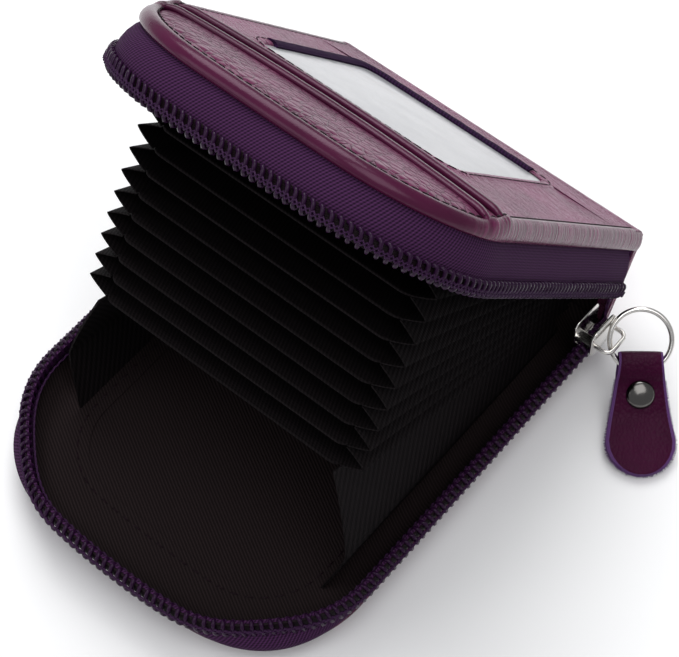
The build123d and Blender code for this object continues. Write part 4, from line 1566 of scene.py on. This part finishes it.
def strap():
    """Leather strap folded over the ring, its raw edges showing."""
    runs = [STRAP_TIP - back for back in (0.00003, 0.0002, 0.0006, 0.0013, 0.0023, 0.0036, 0.0052)]
    runs += [TIP_CENTRE - (TIP_CENTRE - MEET) * k / 10 for k in range(10)]
    loop = [(MEET, 0.00055, 0.0), (0.0075, 0.0009, -0.3), (0.00675, 0.00140, -0.25), (0.0055, 0.00155, -0.05),
            (LOOP_AT, LOOP_R, 0.0)]
    path = []
    for run in runs:
        at, up = strap_middle(run)
        path.append((at + up * STRAP_T / 2, up, strap_half_width(run)))
    for run, level, lean in loop:
        path.append((Vector((run, level)), Vector((-lean, 1)).normalized(), strap_half_width(run)))
    for k in range(1, 8):
        a = math.pi / 2 + math.pi * k / 8
        up = Vector((math.cos(a), math.sin(a)))
        path.append((Vector((LOOP_AT, 0)) + up * LOOP_R, up, STRAP_NECK))
    for run, level, lean in reversed(loop):
        path.append((Vector((run, -level)), Vector((-lean, -1)).normalized(), strap_half_width(run)))
    for run in reversed(runs):
        at, up = strap_middle(run)
        path.append((at - up * STRAP_T / 2, -up, strap_half_width(run)))
    narrowest, rough = 0.00035, 0.00006
    rows = []
    for i, (at, up, half) in enumerate(path):
        row = []
        for side, lift in STRAP_SHAPE:
            wear_and_painted_highlight = rough * ripple(i * 1.7, side * 7 + lift * 9, 5.0) if abs(side) > 0.9 else 0.0
            spot = at + up * lift * STRAP_T
            row.append(Vector((side * max(half, narrowest) + wear_and_painted_highlight, spot.x, spot.y)))
        rows.append(row)
    piece = skin("pull_strap_leather", rows)
    piece.data.transform(PULL_FRAME)
    outwards(piece)
    finish_piece(piece, "pull_strap_leather", "pull_leather", "strap")
    piece.data.materials.append(MATERIALS["pull_edge"])
    for face in piece.data.polygons:
        if face.index < len(rows) * len(STRAP_SHAPE) and face.index % len(STRAP_SHAPE) in EDGE_FACES:
            face.material_index = 1
    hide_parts("pull_strap")


def strap_fibres():
    """Loose fibres along the strap's raw edges, below the ring."""
    side_count, tip_count = 34, 28
    spread, off_edge, stray, twist = 0.0007, 0.00004, 0.9, 0.2
    runs = [TIP_CENTRE + (MEET - TIP_CENTRE) * (1 - i / side_count) for i in range(side_count)]
    runs += [TIP_CENTRE + STRAP_HALF_W * math.sin(math.pi / 2 * i / tip_count) for i in range(1, tip_count)]
    places = []
    for i, (run, side) in enumerate((run, side) for run in runs for side in (-1, 1)):
        jitter = Vector((ripple(i * 1.37, 0.5, 1.0), ripple(i * 2.11, 0.5, 2.0), ripple(i * 1.73, 0.5, 3.0)))
        lean = max(0.0, (run - TIP_CENTRE) / STRAP_HALF_W)
        at, up = strap_middle(run)
        rise = Vector((0, up.x, up.y))
        out = Vector((side * math.sqrt(max(0.0, 1 - lean ** 2)), up.y * lean, -up.x * lean))
        spot = Vector((side * strap_half_width(run), at.x, at.y)) + rise * jitter.x * spread
        places.append((spot + out * off_edge, (out + jitter * stray).normalized(), rise + jitter * twist))
    stitch_row("pull_edge_fibres", places, 0.00075, 0.00011, "pull_edge", "strap", PULL_FRAME)


def rivet():
    """Domed rivet cap on each side of the strap, and the post through it."""
    low_corner, high_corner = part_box("pull_rivet")
    crown_in, crown_rise = 0.0004, 0.00006
    profile = ((RIVET_POST_R, 0.00085), (0.0028, 0.00085), (0.0029, 0.00105), (0.0028, 0.0013),
               (0.0024, 0.0016), (0.0017, 0.00185), (0.0009, 0.0020))
    clear_selection()
    bpy.ops.mesh.primitive_circle_add(vertices=40, radius=RIVET_POST_R, fill_type="NOTHING")
    cap = bpy.context.object
    bpy.ops.object.mode_set(mode="EDIT")
    bpy.ops.mesh.select_all(action="SELECT")
    radius, level = RIVET_POST_R, 0.0
    for next_radius, next_level in profile:
        bpy.ops.mesh.extrude_region_move(TRANSFORM_OT_translate={"value": (0, 0, next_level - level)})
        bpy.ops.transform.resize(value=(next_radius / radius, next_radius / radius, 1))
        radius, level = next_radius, next_level
    bpy.ops.mesh.fill()
    bpy.ops.mesh.inset(thickness=crown_in)
    bpy.ops.transform.translate(value=(0, 0, crown_rise))
    bpy.ops.object.mode_set(mode="OBJECT")
    mirror = cap.modifiers.new("under side", "MIRROR")
    mirror.use_axis = (False, False, True)
    only(cap)
    bpy.ops.object.modifier_apply(modifier=mirror.name)
    place = PULL_FRAME.copy()
    place.translation = (low_corner + high_corner) / 2
    cap.data.transform(place)
    outwards(cap)
    finish_piece(cap, "pull_rivet_caps", "rivet_nickel", "strap", 50.0)
    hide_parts("pull_rivet")


# Build

for half_name in HALVES:
    zip_tape(half_name)
    coil_row(half_name)
    rim(half_name)
    rim_stitches(half_name)
    panel(half_name)
    wall_lining(half_name)
    lining_hem(half_name)
    lining_stitches(half_name)
pocket_sheet("pocket_leather_1", "slip_pocket_1", POCKET_EDGE_1, 0.0, 0.0016)
pocket_sheet("pocket_leather_2", "slip_pocket_2", POCKET_EDGE_2, POCKET_T, 0.0018, window=True)
pocket_roll("pocket_roll_1", POCKET_EDGE_1, 0.0)
pocket_roll("pocket_roll_2", POCKET_EDGE_2, POCKET_T)
window_border()
film()
binding()
spine_skin()
fold_leather()
accordion()
for half_name in HALVES:
    fold_lining(half_name)
    end_gusset("right", 1, half_name)
    end_gusset("left", -1, half_name)
slider()
arch()
ring()
strap()
strap_fibres()
rivet()

CAD_FINISH = {
    "front_cover_leather": "pebbled_leather",
    "back_cover_leather": "pebbled_leather",
    "front_cover_board": "board",
    "back_cover_board": "board",
    "front_lining": "twill_lining",
    "back_lining": "twill_lining",
    "spine_lining": "twill_lining",
    "accordion_strip": "accordion_cloth",
}
for node, finish in CAD_FINISH.items():
    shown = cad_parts[node]
    shown.data.materials.clear()
    shown.data.materials.append(MATERIALS[finish])


# Camera, light and floor

STAGE_SIZE = 12.0
LAMP_TARGET = Vector((0, 0, 0.02))


def stage():
    """A floor under the case and a wall behind it."""
    material = new_material("pale_floor", (0.93, 0.93, 0.93), 0.6)[0]
    clear_selection()
    bpy.ops.mesh.primitive_plane_add(size=STAGE_SIZE, location=(0, 0, -0.0001))
    floor = bpy.context.object
    floor.name = "floor"
    floor.data.materials.append(material)
    clear_selection()
    bpy.ops.mesh.primitive_plane_add(size=STAGE_SIZE, location=(0, 3.0, 5.9), rotation=(math.radians(90), 0, 0))
    backdrop = bpy.context.object
    backdrop.name = "backdrop"
    backdrop.data.materials.append(material)


def lamp(name, place, size, power):
    """A square lamp that faces the case."""
    bpy.ops.object.light_add(type="AREA", location=place)
    light = bpy.context.object
    light.name = name
    light.data.shape = "SQUARE"
    light.data.size = size
    light.data.energy = power
    light.rotation_euler = (LAMP_TARGET - Vector(place)).to_track_quat("-Z", "Y").to_euler()


stage()
lamp("key_light", (-0.40, 0.45, 0.85), 0.7, 7.0)
lamp("fill_light", (0.30, -0.20, 1.10), 0.8, 5.0)
lamp("mouth_light", (-0.45, -0.65, 0.45), 0.5, 1.2)
world = bpy.data.worlds.new("soft_room")
world.use_nodes = True
background = world.node_tree.nodes["Background"]
background.inputs[0].default_value = (0.95, 0.96, 1.0, 1)
background.inputs[1].default_value = 0.42
bpy.context.scene.world = world
bpy.context.scene.view_settings.view_transform = "Standard"

CAMERA_AT = Vector((0.15894, -0.17995, 0.40915))
CAMERA_TARGET = Vector((0.00820, 0.00295, 0.03219))
camera_data = bpy.data.cameras.new("photo_camera")
camera_data.lens = 124.05
camera_data.clip_start = 0.01
camera = bpy.data.objects.new("photo_camera", camera_data)
camera.location = CAMERA_AT
camera.rotation_euler = (CAMERA_TARGET - CAMERA_AT).to_track_quat("-Z", "Y").to_euler()
bpy.context.scene.collection.objects.link(camera)
bpy.context.scene.camera = camera
